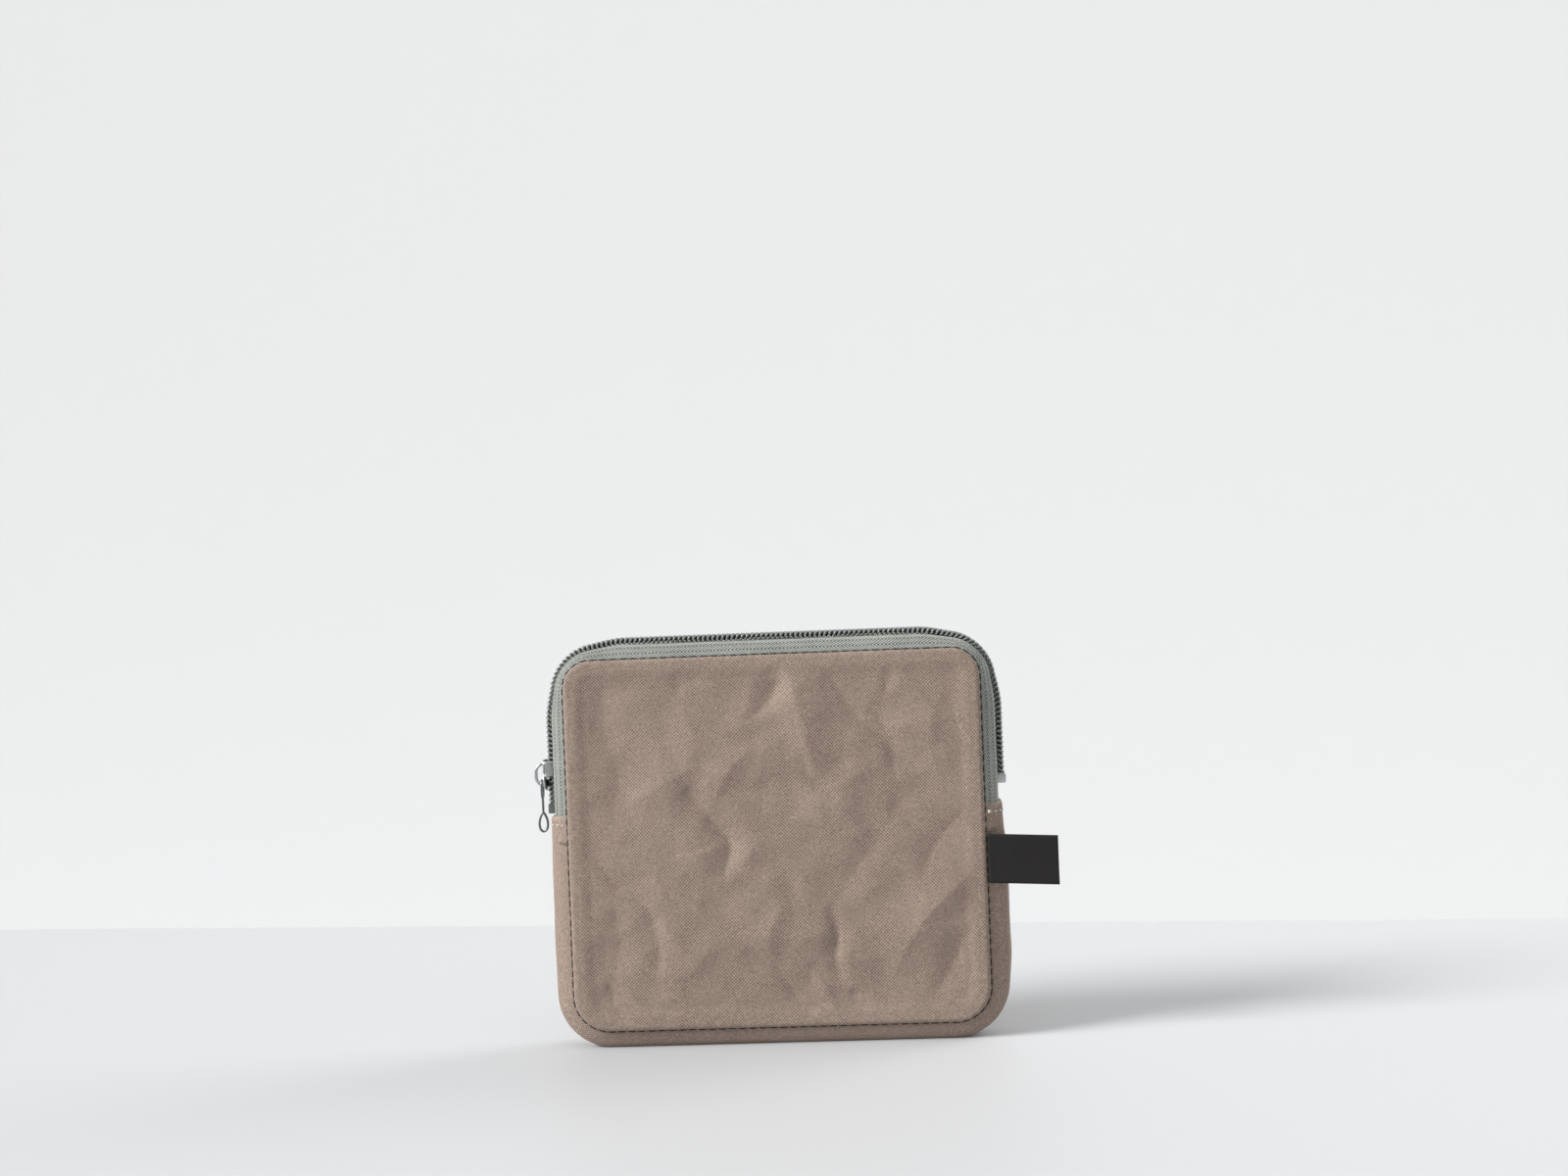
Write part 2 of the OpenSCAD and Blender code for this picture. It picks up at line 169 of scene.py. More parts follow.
class PouchStage(bpy.types.PropertyGroup):
    """The camera, the edge of the table and the colours of the room."""
    distance: length("Distance", "From the camera to the front panel", 667 * MM)
    height: length("Height", "Of the camera's axis over the table", 139.75 * MM)
    azimuth: FloatProperty(name="Azimuth", description="Turn of the camera round the pouch",
                           default=math.radians(3), unit="ROTATION")
    roll: FloatProperty(name="Roll", description="Tilt of the camera about its own axis",
                        default=math.radians(2.2), unit="ROTATION")
    sideways: length("Sideways", "Shift of the camera to the right of the pouch", 5.4 * MM)
    edge_distance: length("Edge distance", "From the camera to the back edge of the table", 905 * MM)
    edge_yaw: FloatProperty(name="Edge yaw", description="Turn of that edge away from facing the camera",
                            default=math.radians(11.5), unit="ROTATION")
    lens: FloatProperty(name="Lens", description="Focal length of the lens in millimetres", default=50.0)
    floor: paint("Floor", "Colour of the table and the ground", 191, 192, 193)
    wall: paint("Wall", "Colour of the wall", 216, 216, 216)


def cloth():
    return bpy.context.scene.pouch_cloth


def zipper():
    return bpy.context.scene.pouch_zip


def colours():
    return bpy.context.scene.pouch_colours


# ---------------------------------------------------------------- the seam's outline

class Outline:
    """The rounded rectangle of the seams, measured along itself from the middle of the bottom."""

    def __init__(self, half, low, top, low_r, top_r):
        base, crown, upright = half - low_r, half - top_r, top - low - low_r - top_r
        low_arc, top_arc = math.pi * low_r / 2, math.pi * top_r / 2
        runs = [base, low_arc, upright, top_arc, 2 * crown, top_arc, upright, low_arc, base]
        self.radii = np.array([1, low_r, 1, top_r, 1, top_r, 1, low_r, 1])
        self.turns = np.array([0, 1, 0, 1, 0, 1, 0, 1, 0])
        self.starts = np.concatenate([[0], np.cumsum(runs)[:-1]])
        self.headings = np.concatenate([[0], np.cumsum(self.turns[:-1])]) * math.pi / 2
        self.corners = np.array([[0, low], [base, low], [half, low + low_r], [half, top - top_r],
                                 [crown, top], [-crown, top], [-half, top - top_r],
                                 [-half, low + low_r], [-base, low]])
        self.length = sum(runs)
        self.top_corners = (self.starts[3] + top_arc / 2, self.starts[5] + top_arc / 2)
        self.low_r, self.top_r, self.low, self.top, self.half = low_r, top_r, low, top, half

    def at(self, s):
        """Points (x, z) of the outline and its outward normals (x, z) at distances s along it."""
        s = np.mod(np.asarray(s, float), self.length)
        run = np.searchsorted(self.starts, s, side="right") - 1
        along = s - self.starts[run]
        heading = self.headings[run] + self.turns[run] * along / self.radii[run]
        normal = np.stack([np.sin(heading), -np.cos(heading)], -1)
        start = self.headings[run]
        start_normal = np.stack([np.sin(start), -np.cos(start)], -1)
        ahead = np.stack([np.cos(start), np.sin(start)], -1)
        bent = self.corners[run] + (normal - start_normal) * self.radii[run][..., None]
        plain = self.corners[run] + ahead * along[..., None]
        return np.where(self.turns[run][..., None] == 1, bent, plain), normal

    def up_right(self, z):
        """Distance along the outline to height z on the right leg."""
        return float(self.starts[2]) + z - (self.low + self.low_r)

    def up_left(self, z):
        """Distance along the outline to height z on the left leg."""
        return self.length - self.up_right(z)

    def depth(self, x, z):
        """Distance inwards from the outline, for points inside it."""
        middle, tall = (self.low + self.top) / 2, (self.top - self.low) / 2
        r = np.where(z > middle, self.top_r, self.low_r)
        across = np.abs(x) - (self.half - r)
        along = np.abs(z - middle) - (tall - r)
        outside = np.hypot(np.maximum(across, 0), np.maximum(along, 0))
        return r - outside - np.minimum(np.maximum(across, along), 0)

    def taut(self, s):
        """Share of its offset that the zip keeps at s: it cuts the top corners, because the coil is stiff."""
        away = np.minimum(*[np.abs(np.mod(s, self.length) - corner) for corner in self.top_corners])
        past = np.clip(away / cloth().cut_reach, 0, 1)
        return 1 - cloth().corner_cut * (0.5 + 0.5 * np.cos(past * math.pi))


def seam():
    return Outline(SEAM_HALF, SEAM_LOW, SEAM_TOP, cloth().low_corner_r, cloth().top_corner_r)


def smooth(t):
    """A soft step from 0 to 1 as t goes from 0 to 1."""
    t = np.clip(t, 0, 1)
    return t * t * (3 - 2 * t)


def full(wave, power):
    """A wave from -1 to 1 with fuller shoulders, for sections between an ellipse and a rectangle."""
    return np.sign(wave) * np.abs(wave) ** power


def uneven(x, z, scale, seed):
    """Smooth noise from -1 to 1 at each point, with bumps about one scale wide."""
    flat_x, flat_z = np.ravel(x) / scale, np.ravel(z) / scale
    drawn = [noise.noise((a, b, seed * 7.31)) for a, b in zip(flat_x, flat_z)]
    return np.reshape(drawn, np.shape(x))


# ---------------------------------------------------------------- meshes

@contextmanager
def reworked(mesh):
    """Opens a mesh for editing and writes it back."""
    work = bmesh.new()
    work.from_mesh(mesh)
    yield work
    work.to_mesh(mesh)
    work.free()


def shade_smooth(mesh):
    mesh.polygons.foreach_set("use_smooth", [True] * len(mesh.polygons))


def make_object(name, mesh):
    piece = bpy.data.objects.new(name, mesh)
    bpy.context.scene.collection.objects.link(piece)
    return piece


def grid_object(name, points, across, closed=False):
    """A piece from rows of points, (rows, columns, 3), with a UV in metres: across is (u, v) for each."""
    rows, columns = points.shape[:2]
    last = columns if closed else columns - 1
    quads = [(i * columns + j, i * columns + (j + 1) % columns,
              (i + 1) * columns + (j + 1) % columns, (i + 1) * columns + j)
             for i in range(rows - 1) for j in range(last)]
    mesh = bpy.data.meshes.new(name)
    mesh.from_pydata(points.reshape(-1, 3).tolist(), [], quads)
    layer = mesh.uv_layers.new(name="UVMap")
    corners = [(i + di, j + dj) for i in range(rows - 1) for j in range(last)
               for di, dj in ((0, 0), (0, 1), (1, 1), (1, 0))]
    rows_of, columns_of = np.array(corners).T
    layer.data.foreach_set("uv", across[rows_of, columns_of].astype(np.float32).ravel())
    shade_smooth(mesh)
    return make_object(name, mesh)


def settle(piece):
    """Turns a piece with its modifiers into a plain mesh."""
    shape = bpy.data.meshes.new_from_object(piece.evaluated_get(bpy.context.evaluated_depsgraph_get()))
    piece.modifiers.clear()
    shape.name = piece.name
    piece.data = shape
    return piece


def thicken(piece, thickness, offset=-1):
    """Gives a sheet its thickness, inwards from the face it shows (-1) or to both sides (0)."""
    solid = piece.modifiers.new("Thickness", "SOLIDIFY")
    solid.thickness = thickness
    solid.offset = offset
    solid.use_even_offset = False
    return settle(piece)


def swept(name, s, offsets, widths, closed=False, along=None):
    """A piece whose section, (offset outwards, y), follows the seam: arrays of (rows, columns)."""
    path = seam()
    place, normal = path.at(s)
    x = place[:, None, 0] + normal[:, None, 0] * offsets
    z = place[:, None, 1] + normal[:, None, 1] * offsets
    points = np.stack([x, widths, z], -1)
    step = np.hypot(np.diff(offsets, axis=1), np.diff(widths, axis=1))
    run = np.concatenate([np.zeros((len(s), 1)), np.cumsum(step, axis=1)], axis=1)
    if closed:
        run = np.concatenate([run, run[:, -1:] + step[:, :1]], axis=1)
    run = np.repeat(run[len(s) // 2][None], len(s), axis=0)
    u = np.repeat((s if along is None else along)[:, None], run.shape[1], axis=1)
    return grid_object(name, points, np.stack([u, run], -1), closed)


def face_out(piece):
    """Turns every face of a closed piece outwards."""
    with reworked(piece.data) as work:
        bmesh.ops.recalc_face_normals(work, faces=work.faces)
    return piece


def weld(piece, gap=0.01 * MM):
    """Joins points that lie on each other."""
    with reworked(piece.data) as work:
        bmesh.ops.remove_doubles(work, verts=work.verts, dist=gap)
    return piece


def close_ends(piece, rows, columns):
    """Closes both ends of a tube made of rows of points."""
    with reworked(piece.data) as work:
        work.verts.ensure_lookup_table()
        work.faces.new([work.verts[j] for j in range(columns)])
        work.faces.new([work.verts[(rows - 1) * columns + j] for j in range(columns)])
    return piece


def mark_wear_and_highlight(piece, wear_and_highlight):
    """Stores how far each point of a sheet is paled, from 0 to 1: rubbed wax, and on the panels also painted
    highlight along fold crests and the raised edge.
    """
    rub_and_highlight = piece.data.attributes.new("wear_and_highlight", "FLOAT", "POINT")
    rub_and_highlight.data.foreach_set("value", wear_and_highlight.astype(np.float32).ravel())


def dress(piece, slot, finish=None):
    """Gives a piece the material of its slot, or another finish."""
    piece.data.materials.clear()
    piece.data.materials.append(finish_of(finish or slot))
    return piece


def over_fold(piece, side):
    """Bakes a piece's placement into its mesh."""
    side + "_mouth"
    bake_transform(piece)


# ---------------------------------------------------------------- materials

class Sum:
    """A number in a material. Plus, minus, times and the rest add the nodes that work them out."""

    def __init__(self, look, socket):
        self.look = look
        self.socket = socket

    def maths(self, operation, *others):
        parts = dict(enumerate((self,) + others))
        return self.look.number("ShaderNodeMath", {"operation": operation}, parts)

    def __add__(self, other):
        return self.maths("ADD", other)

    def __sub__(self, other):
        return self.maths("SUBTRACT", other)

    def __mul__(self, other):
        return self.maths("MULTIPLY", other)

    def __rsub__(self, other):
        return (self * -1) + other

    __radd__ = __add__
    __rmul__ = __mul__

    def sine(self):
        return self.maths("SINE")

    def ping(self, reach):
        return self.maths("PINGPONG", reach)

    def clamp(self):
        return self.look.number("ShaderNodeClamp", {}, {"Value": self})


class Look:
    """A material under construction."""

    def __init__(self, name):
        self.material = bpy.data.materials.new(name)
        self.material.use_nodes = True
        self.tree = self.material.node_tree
        self.shader = self.tree.nodes["Principled BSDF"]

    def node(self, kind, settings, inputs):
        """Adds a node of that kind: its settings first, then the values or links of its sockets."""
        made = self.tree.nodes.new(kind)
        for name, value in settings.items():
            setattr(made, name, value)
        for name, value in inputs.items():
            self.feed(made.inputs[name], value)
        return made

    def feed(self, socket, value):
        if isinstance(value, Sum):
            self.tree.links.new(value.socket, socket)
        elif isinstance(value, bpy.types.NodeSocket):
            self.tree.links.new(value, socket)
        else:
            socket.default_value = value

    def number(self, kind, settings, inputs, output=0):
        return Sum(self, self.node(kind, settings, inputs).outputs[output])

    def along_cloth(self):
        """The UV of a cloth piece, in metres."""
        uv = self.node("ShaderNodeTexCoord", {}, {}).outputs["UV"]
        split = self.node("ShaderNodeSeparateXYZ", {}, {"Vector": uv})
        return Sum(self, split.outputs["X"]), Sum(self, split.outputs["Y"])

    def grain(self, scale, detail=2.0, stretch=(1, 1, 1)):
        """Noise from 0 to 1 with bumps about one scale (metres) wide."""
        where = self.node("ShaderNodeTexCoord", {}, {}).outputs["Object"]
        size = tuple(v / scale for v in stretch)
        mapped = self.node("ShaderNodeMapping", {"vector_type": "POINT"}, {"Vector": where, "Scale": size})
        return self.number("ShaderNodeTexNoise", {}, {"Vector": mapped.outputs[0], "Scale": 1.0,
                                                      "Detail": detail})

    def blend(self, factor, first, second):
        """A colour between two others."""
        mixed = self.node("ShaderNodeMix", {"data_type": "RGBA"}, {0: factor, 6: first, 7: second})
        return mixed.outputs[2]

    def attribute(self, name):
        return self.number("ShaderNodeAttribute", {"attribute_name": name}, {}, "Fac")

    def raise_surface(self, height):
        """Bumps the surface by a height in metres."""
        bump = self.node("ShaderNodeBump", {}, {"Height": height, "Distance": 1.0, "Strength": 1.0})
        self.feed(self.shader.inputs["Normal"], bump.outputs[0])

    def set(self, **values):
        for name, value in values.items():
            self.feed(self.shader.inputs[name.replace("_", " ")], value)


def rgba(colour):
    return (*colour, 1.0)


def canvas_look():
    """Waxed cotton canvas: plain weave, speckled yarn, wax that rubs pale along the creases, and painted
    highlight along fold crests and the raised edge.
    """
    look = Look("waxed_canvas")
    tones = colours()
    yarn = 0.5 * MM
    u, v = look.along_cloth()
    wander = (look.grain(4 * MM, 2.0) - 0.5) * (0.5 * MM)
    wave = ((u + wander) * (math.pi / yarn)).sine() * ((v + wander) * (math.pi / yarn)).sine()
    slub = look.grain(0.7 * MM, 2.0)
    speckle = look.grain(0.32 * MM, 1.0)
    cloud = look.grain(22 * MM, 2.0)
    wear_and_highlight = look.attribute("wear_and_highlight")
    light = wave * 0.48 + (slub - 0.5) * 0.8 + (speckle - 0.5) * 1.3 + (cloud - 0.5) * 0.3 + 0.56
    colour = look.blend(light.clamp(), rgba(tones.canvas_shade), rgba(tones.canvas))
    # This mask pales the colour: partly rubbed wax, partly painted highlight along fold crests and the raised
    # edge beside the seam.
    rub_and_highlight = wear_and_highlight * (0.25 + slub * 0.7) + (speckle * slub - 0.36) * 1.2
    colour = look.blend(rub_and_highlight.clamp(), colour, rgba(tones.canvas_wear_and_highlight))
    look.set(Base_Color=colour, Roughness=(0.84 - wear_and_highlight * 0.12 - slub * 0.1).clamp(),
             Sheen_Weight=0.1, Sheen_Roughness=0.5, Specular_IOR_Level=0.35)
    look.raise_surface(wave * (0.05 * MM) + slub * (0.07 * MM))
    return look.material


def tape_look():
    """Herringbone zip tape: slanting ribs that turn back at each rib line."""
    look = Look("herringbone_tape")
    tones = colours()
    u, v = look.along_cloth()
    turn = 2.0 * MM
    rib = 1.12 * MM
    across = (v + 1.8 * MM).ping(turn)
    ribs = ((u + across * 1.4) * (2 * math.pi / rib)).sine()
    spine = (across * (math.pi / turn)).sine()
    fibre = look.grain(0.35 * MM, 2.0)
    soil = look.grain(9 * MM, 2.0)
    light = (ribs * 0.42 + 0.5 + (spine - 0.6) * 0.25 + (fibre - 0.5) * 0.9 + (soil - 0.5) * 0.3).clamp()
    colour = look.blend(light, rgba(tones.tape_shade), rgba(tones.tape))
    look.set(Base_Color=colour, Roughness=0.78, Sheen_Weight=0.1, Sheen_Roughness=0.4)
    look.raise_surface(ribs * (0.09 * MM) + spine * (0.05 * MM) + fibre * (0.05 * MM))
    return look.material


def coil_look():
    """Nylon wire of the coil: smooth, slightly milky, with fine drawing lines."""
    look = Look("zip_nylon")
    fine = look.grain(0.5 * MM, 2.0)
    dusty = look.grain(6 * MM, 2.0)
    base = colours().coil
    dark = tuple(c * 0.6 for c in base)
    look.set(Base_Color=look.blend((fine * 0.9 + dusty * 0.4).clamp(), rgba(dark), rgba(base)),
             Roughness=(0.2 + fine * 0.2).clamp(), Coat_Weight=0.4, Coat_Roughness=0.12)
    look.raise_surface(fine * (0.02 * MM))
    return look.material


def thread_look(name, colour):
    """Twisted sewing thread: strands that wind round it."""
    look = Look(name)
    strand = look.grain(0.16 * MM, 1.0, stretch=(1.0, 1.0, 2.2))
    base = rgba(colour)
    dark = rgba(tuple(c * 0.45 for c in colour))
    look.set(Base_Color=look.blend((strand * 1.5 - 0.2).clamp(), dark, base),
             Roughness=0.6, Sheen_Weight=0.2)
    look.raise_surface(strand * (0.06 * MM))
    return look.material


def ribbon_look():
    """Black woven ribbon: fine twill with firm edges."""
    look = Look("black_ribbon")
    u, v = look.along_cloth()
    twill = ((u + v * 0.8) * (2 * math.pi / (0.42 * MM))).sine()
    weft = (v * (2 * math.pi / (0.3 * MM))).sine()
    lint = look.grain(0.3 * MM, 3.0)
    base = colours().ribbon
    pale = tuple(min(1, c * 3.0 + 0.006) for c in base)
    look.set(Base_Color=look.blend((twill * 0.2 + lint * 0.5 - 0.15).clamp(), rgba(base), rgba(pale)),
             Roughness=(0.62 + lint * 0.2).clamp(), Sheen_Weight=0.04, Sheen_Roughness=0.35,
             Specular_IOR_Level=0.3)
    look.raise_surface(twill * (0.03 * MM) + weft * (0.015 * MM) + lint * (0.02 * MM))
    return look.material


def binding_look():
    """Cotton binding tape: cross ribs."""
    look = Look("cotton_binding")
    u, v = look.along_cloth()
    ribs = (u * (2 * math.pi / (0.7 * MM))).sine()
    yarns = (v * (2 * math.pi / (0.5 * MM))).sine()
    fluff = look.grain(0.5 * MM, 3.0)
    base = colours().binding
    dark = tuple(c * 0.6 for c in base)
    look.set(Base_Color=look.blend((ribs * 0.25 + fluff * 0.9).clamp(), rgba(dark), rgba(base)),
             Roughness=0.85, Sheen_Weight=0.2)
    look.raise_surface(ribs * yarns * (0.05 * MM) + fluff * (0.05 * MM))
    return look.material


def metal_look(name, colour, rough):
    """Tumbled plated metal: faint mottling and fine scratches."""
    look = Look(name)
    mottle = look.grain(1.6 * MM, 3.0)
    scratch = look.grain(0.25 * MM, 2.0, stretch=(1.0, 1.0, 0.15))
    dull = tuple(c * 0.72 for c in colour)
    look.set(Base_Color=look.blend((mottle * 1.4 - 0.2).clamp(), rgba(dull), rgba(colour)),
             Metallic=1.0, Roughness=(rough + mottle * 0.12 + scratch * 0.1).clamp())
    look.raise_surface(scratch * (0.008 * MM) + mottle * (0.02 * MM))
    return look.material


def plaster_look(name, colour, rough):
    """Matt painted surface of the stage."""
    look = Look(name)
    look.set(Base_Color=rgba(colour), Roughness=rough)
    return look.material


LOOKS = {}


def finish_of(slot):
    """The material of a slot, made once."""
    tones = colours()
    makers = {
        "canvas": canvas_look,
        "zip_tape": tape_look,
        "zip_coil": coil_look,
        "coil_core_and_shade": lambda: thread_look("core_cord_and_shade", tuple(tones.core)),
        "label_ribbon": ribbon_look,
        "binding": binding_look,
        "seam_thread": lambda: thread_look("dark_thread", tuple(tones.seam)),
        "light_thread": lambda: thread_look("pale_thread", tuple(tones.light)),
        "slider_metal": lambda: metal_look("satin_nickel", tuple(tones.nickel), 0.2),
        "pull_metal": lambda: metal_look("gunmetal", tuple(tones.gunmetal), 0.24),
    }
    if slot not in LOOKS:
        LOOKS[slot] = makers[slot]()
    return LOOKS[slot]


# ---------------------------------------------------------------- panels

# Folds of a panel: a line of (x, z) in millimetres, drawn downwards, how far it stands out, how far the
# cloth slopes away towards -x and towards +x, and how much the line is paled: rubbed wax and painted
# highlight along its crest.
FRONT_FOLDS = [
    ([(-50, 117), (-52, 100), (-48, 86), (-50, 68)], -0.8, 13, 20, 0.0),
    ([(-51, 48), (-49, 36), (-51, 24), (-56, 13)], -0.9, 11, 16, 0.0),
    ([(-22, 87), (-32, 82), (-45, 75)], 1.2, 15, 12, 0.1),
    ([(-27, 80), (-20, 70), (-14, 62), (-17, 51)], -3.2, 17, 9, 0.1),
    ([(-56, 60), (-51, 52), (-44, 47), (-39, 40), (-37, 31), (-38, 22)], -1.5, 7, 8, 0.1),
    ([(-36, 40), (-34, 35), (-27, 27), (-16, 19)], 1.1, 8, 9, 0.3),
    ([(-29, 115), (-28, 108)], -0.7, 3.5, 3.5, 0.0),
    ([(0, 118), (2, 111), (-1, 105), (-8, 99)], -1.2, 7, 5, 0.1),
    ([(4, 119), (7, 108), (10, 95), (13, 80)], 1.5, 8, 16, 0.3),
    ([(17, 114), (27, 99), (45, 82)], -1.5, 11, 14, 0.0),
    ([(37, 115), (35, 106)], -0.8, 3.5, 4, 0.0),
    ([(8, 90), (12, 81), (20, 74)], -1.1, 5, 7, 0.0),
    ([(10, 75), (20, 70), (29, 63)], 1.2, 9, 9, 0.3),
    ([(43, 79), (31, 62), (20, 47), (15, 38)], -0.9, 15, 11, 0.1),
    ([(16, 43), (18, 34), (17, 26), (19, 19)], -1.6, 6, 4.5, 0.1),
    ([(63, 54), (51, 44), (41, 33), (34, 20)], 1.8, 15, 14, 0.2),
    ([(60, 36), (54, 26), (47, 14)], -1.0, 8, 9, 0.0),
    ([(-53, 20), (-50, 11), (-44, 6)], -0.9, 3.5, 3.5, 0.1),
    ([(-50, 22), (-43, 12), (-36, 7)], 0.7, 4, 4, 0.1),
    ([(-2, 24), (5, 15), (11, 8)], -1.2, 6, 6, 0.0),
    ([(10, 24), (15, 13), (19, 7)], 0.9, 5, 6, 0.2),
    ([(21, 17), (27, 9)], -1.2, 4.5, 4.5, 0.0),
    ([(-8, 60), (0, 54), (8, 44)], -0.8, 10, 10, 0.0),
    ([(-6, 92), (-14, 84), (-24, 66)], 1.0, 9, 7, 0.1),
    ([(53, 108), (48, 94), (51, 78)], 0.6, 8, 8, 0.1),
    ([(30, 104), (36, 92), (37, 80)], -0.9, 7, 7, 0.0),
    ([(-30, 52), (-20, 46), (-10, 34)], -0.9, 9, 9, 0.0),
    ([(2, 44), (-3, 34), (-2, 24)], 0.8, 7, 8, 0.1),
    ([(58, 70), (50, 62), (44, 50)], -0.9, 8, 8, 0.0),
]
# Lines where the wax has only rubbed pale, without a fold: the line, its width and how much has rubbed off.
FRONT_SCUFFS = [([(56, 106), (57, 97), (61, 90)], 0.45, 0.9)]
BACK_FOLDS = [
    ([(50, 112), (47, 96), (50, 78)], -1.6, 14, 8, 0.0),
    ([(-6, 118), (-10, 104), (-9, 92), (-14, 80)], 1.6, 12, 9, 0.3),
    ([(-20, 112), (-27, 98), (-38, 86)], -1.1, 9, 8, 0.0),
    ([(55, 62), (46, 54), (36, 44), (33, 30)], -1.5, 8, 7, 0.1),
    ([(38, 66), (28, 52), (25, 38)], 1.2, 10, 9, 0.3),
    ([(-60, 72), (-48, 63), (-36, 60), (-24, 50)], 1.3, 10, 11, 0.3),
    ([(-52, 50), (-40, 44), (-30, 32)], -1.4, 8, 8, 0.0),
    ([(10, 84), (17, 70), (13, 52)], -2.0, 8, 13, 0.1),
    ([(-16, 38), (-11, 28), (-14, 16)], -1.4, 6, 5, 0.1),
    ([(-52, 28), (-44, 17), (-34, 9)], 1.1, 7, 7, 0.2),
    ([(4, 30), (12, 18), (16, 8)], -1.0, 6, 6, 0.0),
    ([(30, 22), (36, 10)], -1.0, 5, 5, 0.0),
    ([(57, 24), (51, 12)], -0.8, 4, 5, 0.1),
]
BACK_SCUFFS = [([(20, 96), (24, 86), (23, 78)], 0.5, 0.7)]


def smooth_line(points, count=22):
    """Points along a smooth curve through the given ones, in metres."""
    knots = np.array(points, float) * MM
    padded = np.vstack([2 * knots[0] - knots[1], knots, 2 * knots[-1] - knots[-2]])
    t = np.linspace(0, len(knots) - 1, count)
    k = np.minimum(t.astype(int), len(knots) - 2)
    f = (t - k)[:, None]
    a, b, c, d = padded[k], padded[k + 1], padded[k + 2], padded[k + 3]
    square, cube = 2 * a - 5 * b + 4 * c - d, 3 * b - a - 3 * c + d
    return 0.5 * (2 * b + (c - a) * f + square * f ** 2 + cube * f ** 3)


def nearest_on(x, z, line):
    """Each point's distance to a line, positive on the +x side where it runs down, and its share along it."""
    best = np.full(x.shape, 1.0)
    side, along = np.ones(x.shape), np.zeros(x.shape)
    for k in range(len(line) - 1):
        ahead = line[k + 1] - line[k]
        to_x, to_z = x - line[k][0], z - line[k][1]
        t = np.clip((to_x * ahead[0] + to_z * ahead[1]) / (ahead @ ahead), 0, 1)
        away = np.hypot(to_x - t * ahead[0], to_z - t * ahead[1])
        near = away < best
        best = np.where(near, away, best)
        turned = ahead[0] * to_z - ahead[1] * to_x
        side = np.where(near, np.where(turned > 0, 1.0, -1.0), side)
        along = np.where(near, (k + t) / (len(line) - 1), along)
    return best * side, along


def fold_mark(x, z, points, left, right, crest=0.3 * MM):
    """From 0 to 1, the shape of a fold: sharp along its line, sloping away on both sides."""
    away, along = nearest_on(x, z, smooth_line(points))
    fade = np.clip(np.sin(along * math.pi), 0, 1) ** 0.7
    reach = np.where(away > 0, right, left) * (0.3 + 0.7 * fade)
    blunt = np.sqrt(away ** 2 + crest ** 2) - crest
    return fade * np.clip(1 - blunt / reach, 0, 1) ** 1.9


def line_mark(x, z, points, width):
    """From 0 to 1, how close each point is to a line."""
    away, along = nearest_on(x, z, smooth_line(points))
    return np.exp(-(np.abs(away) / width) ** 1.5) * np.clip(np.sin(along * math.pi), 0, 1) ** 0.5


def panel_relief(x, z, folds, scuffs, seed):
    """How far a panel's cloth stands out from the seam, and how worn it is, at each point."""
    sizes = cloth()
    inside = seam().depth(x, z)
    band = sizes.edge_band
    risen = np.clip(inside / (1.5 * MM), 0, 1)
    lift = sizes.edge_lift * np.sqrt(risen * (2 - risen))
    sink = 0.55 * MM * smooth((inside - band * 0.55) / (band * 0.7))
    dome = sizes.pillow * smooth(inside / (46 * MM))
    free = smooth((inside - 1.2 * MM) / (9 * MM))
    broad = (0.3 - np.abs(uneven(x, z, 30 * MM, seed))) * 0.8 * MM
    broad += (np.abs(uneven(x, z, 16 * MM, seed + 1)) - 0.3) * 0.6 * MM
    folded = 1 - np.abs(uneven(x, z, 13 * MM, seed + 2)) * 2.2
    fine = uneven(x, z, 7 * MM, seed + 3) * 0.4
    out = lift - sink + dome + free * (broad * 0.8 + (folded * 0.5 + fine) * sizes.crumple)
    # A pale band just inside the seam, where the edge stands up: painted highlight along the raised edge.
    wear_and_highlight = 0.25 * np.exp(-((inside - 2.0 * MM) / (1.6 * MM)) ** 2)
    for points, height, left, right, rub_and_highlight in folds:
        mark = fold_mark(x, z, points, left * MM, right * MM)
        out += sizes.fold_share * mark * height * MM * smooth((inside - 0.8 * MM) / (7 * MM))
        # Each fold's line is paled: rubbed wax, and painted highlight along its crest.
        wear_and_highlight += mark ** 4 * rub_and_highlight
    for points, width, rub_and_highlight in scuffs:
        wear_and_highlight += line_mark(x, z, points, width * MM) * rub_and_highlight
    # The seam allowance and its binding lie behind the first stretch, so the cloth can't sink there.
    backed = 0.26 * MM * smooth(inside / (1.2 * MM)) - 4 * MM * smooth((inside - 7.5 * MM) / (7 * MM))
    middle, half_gap = (out + backed) / 2, (out - backed) / 2
    return middle + np.sqrt(half_gap ** 2 + (0.12 * MM) ** 2), np.clip(wear_and_highlight, 0, 1)


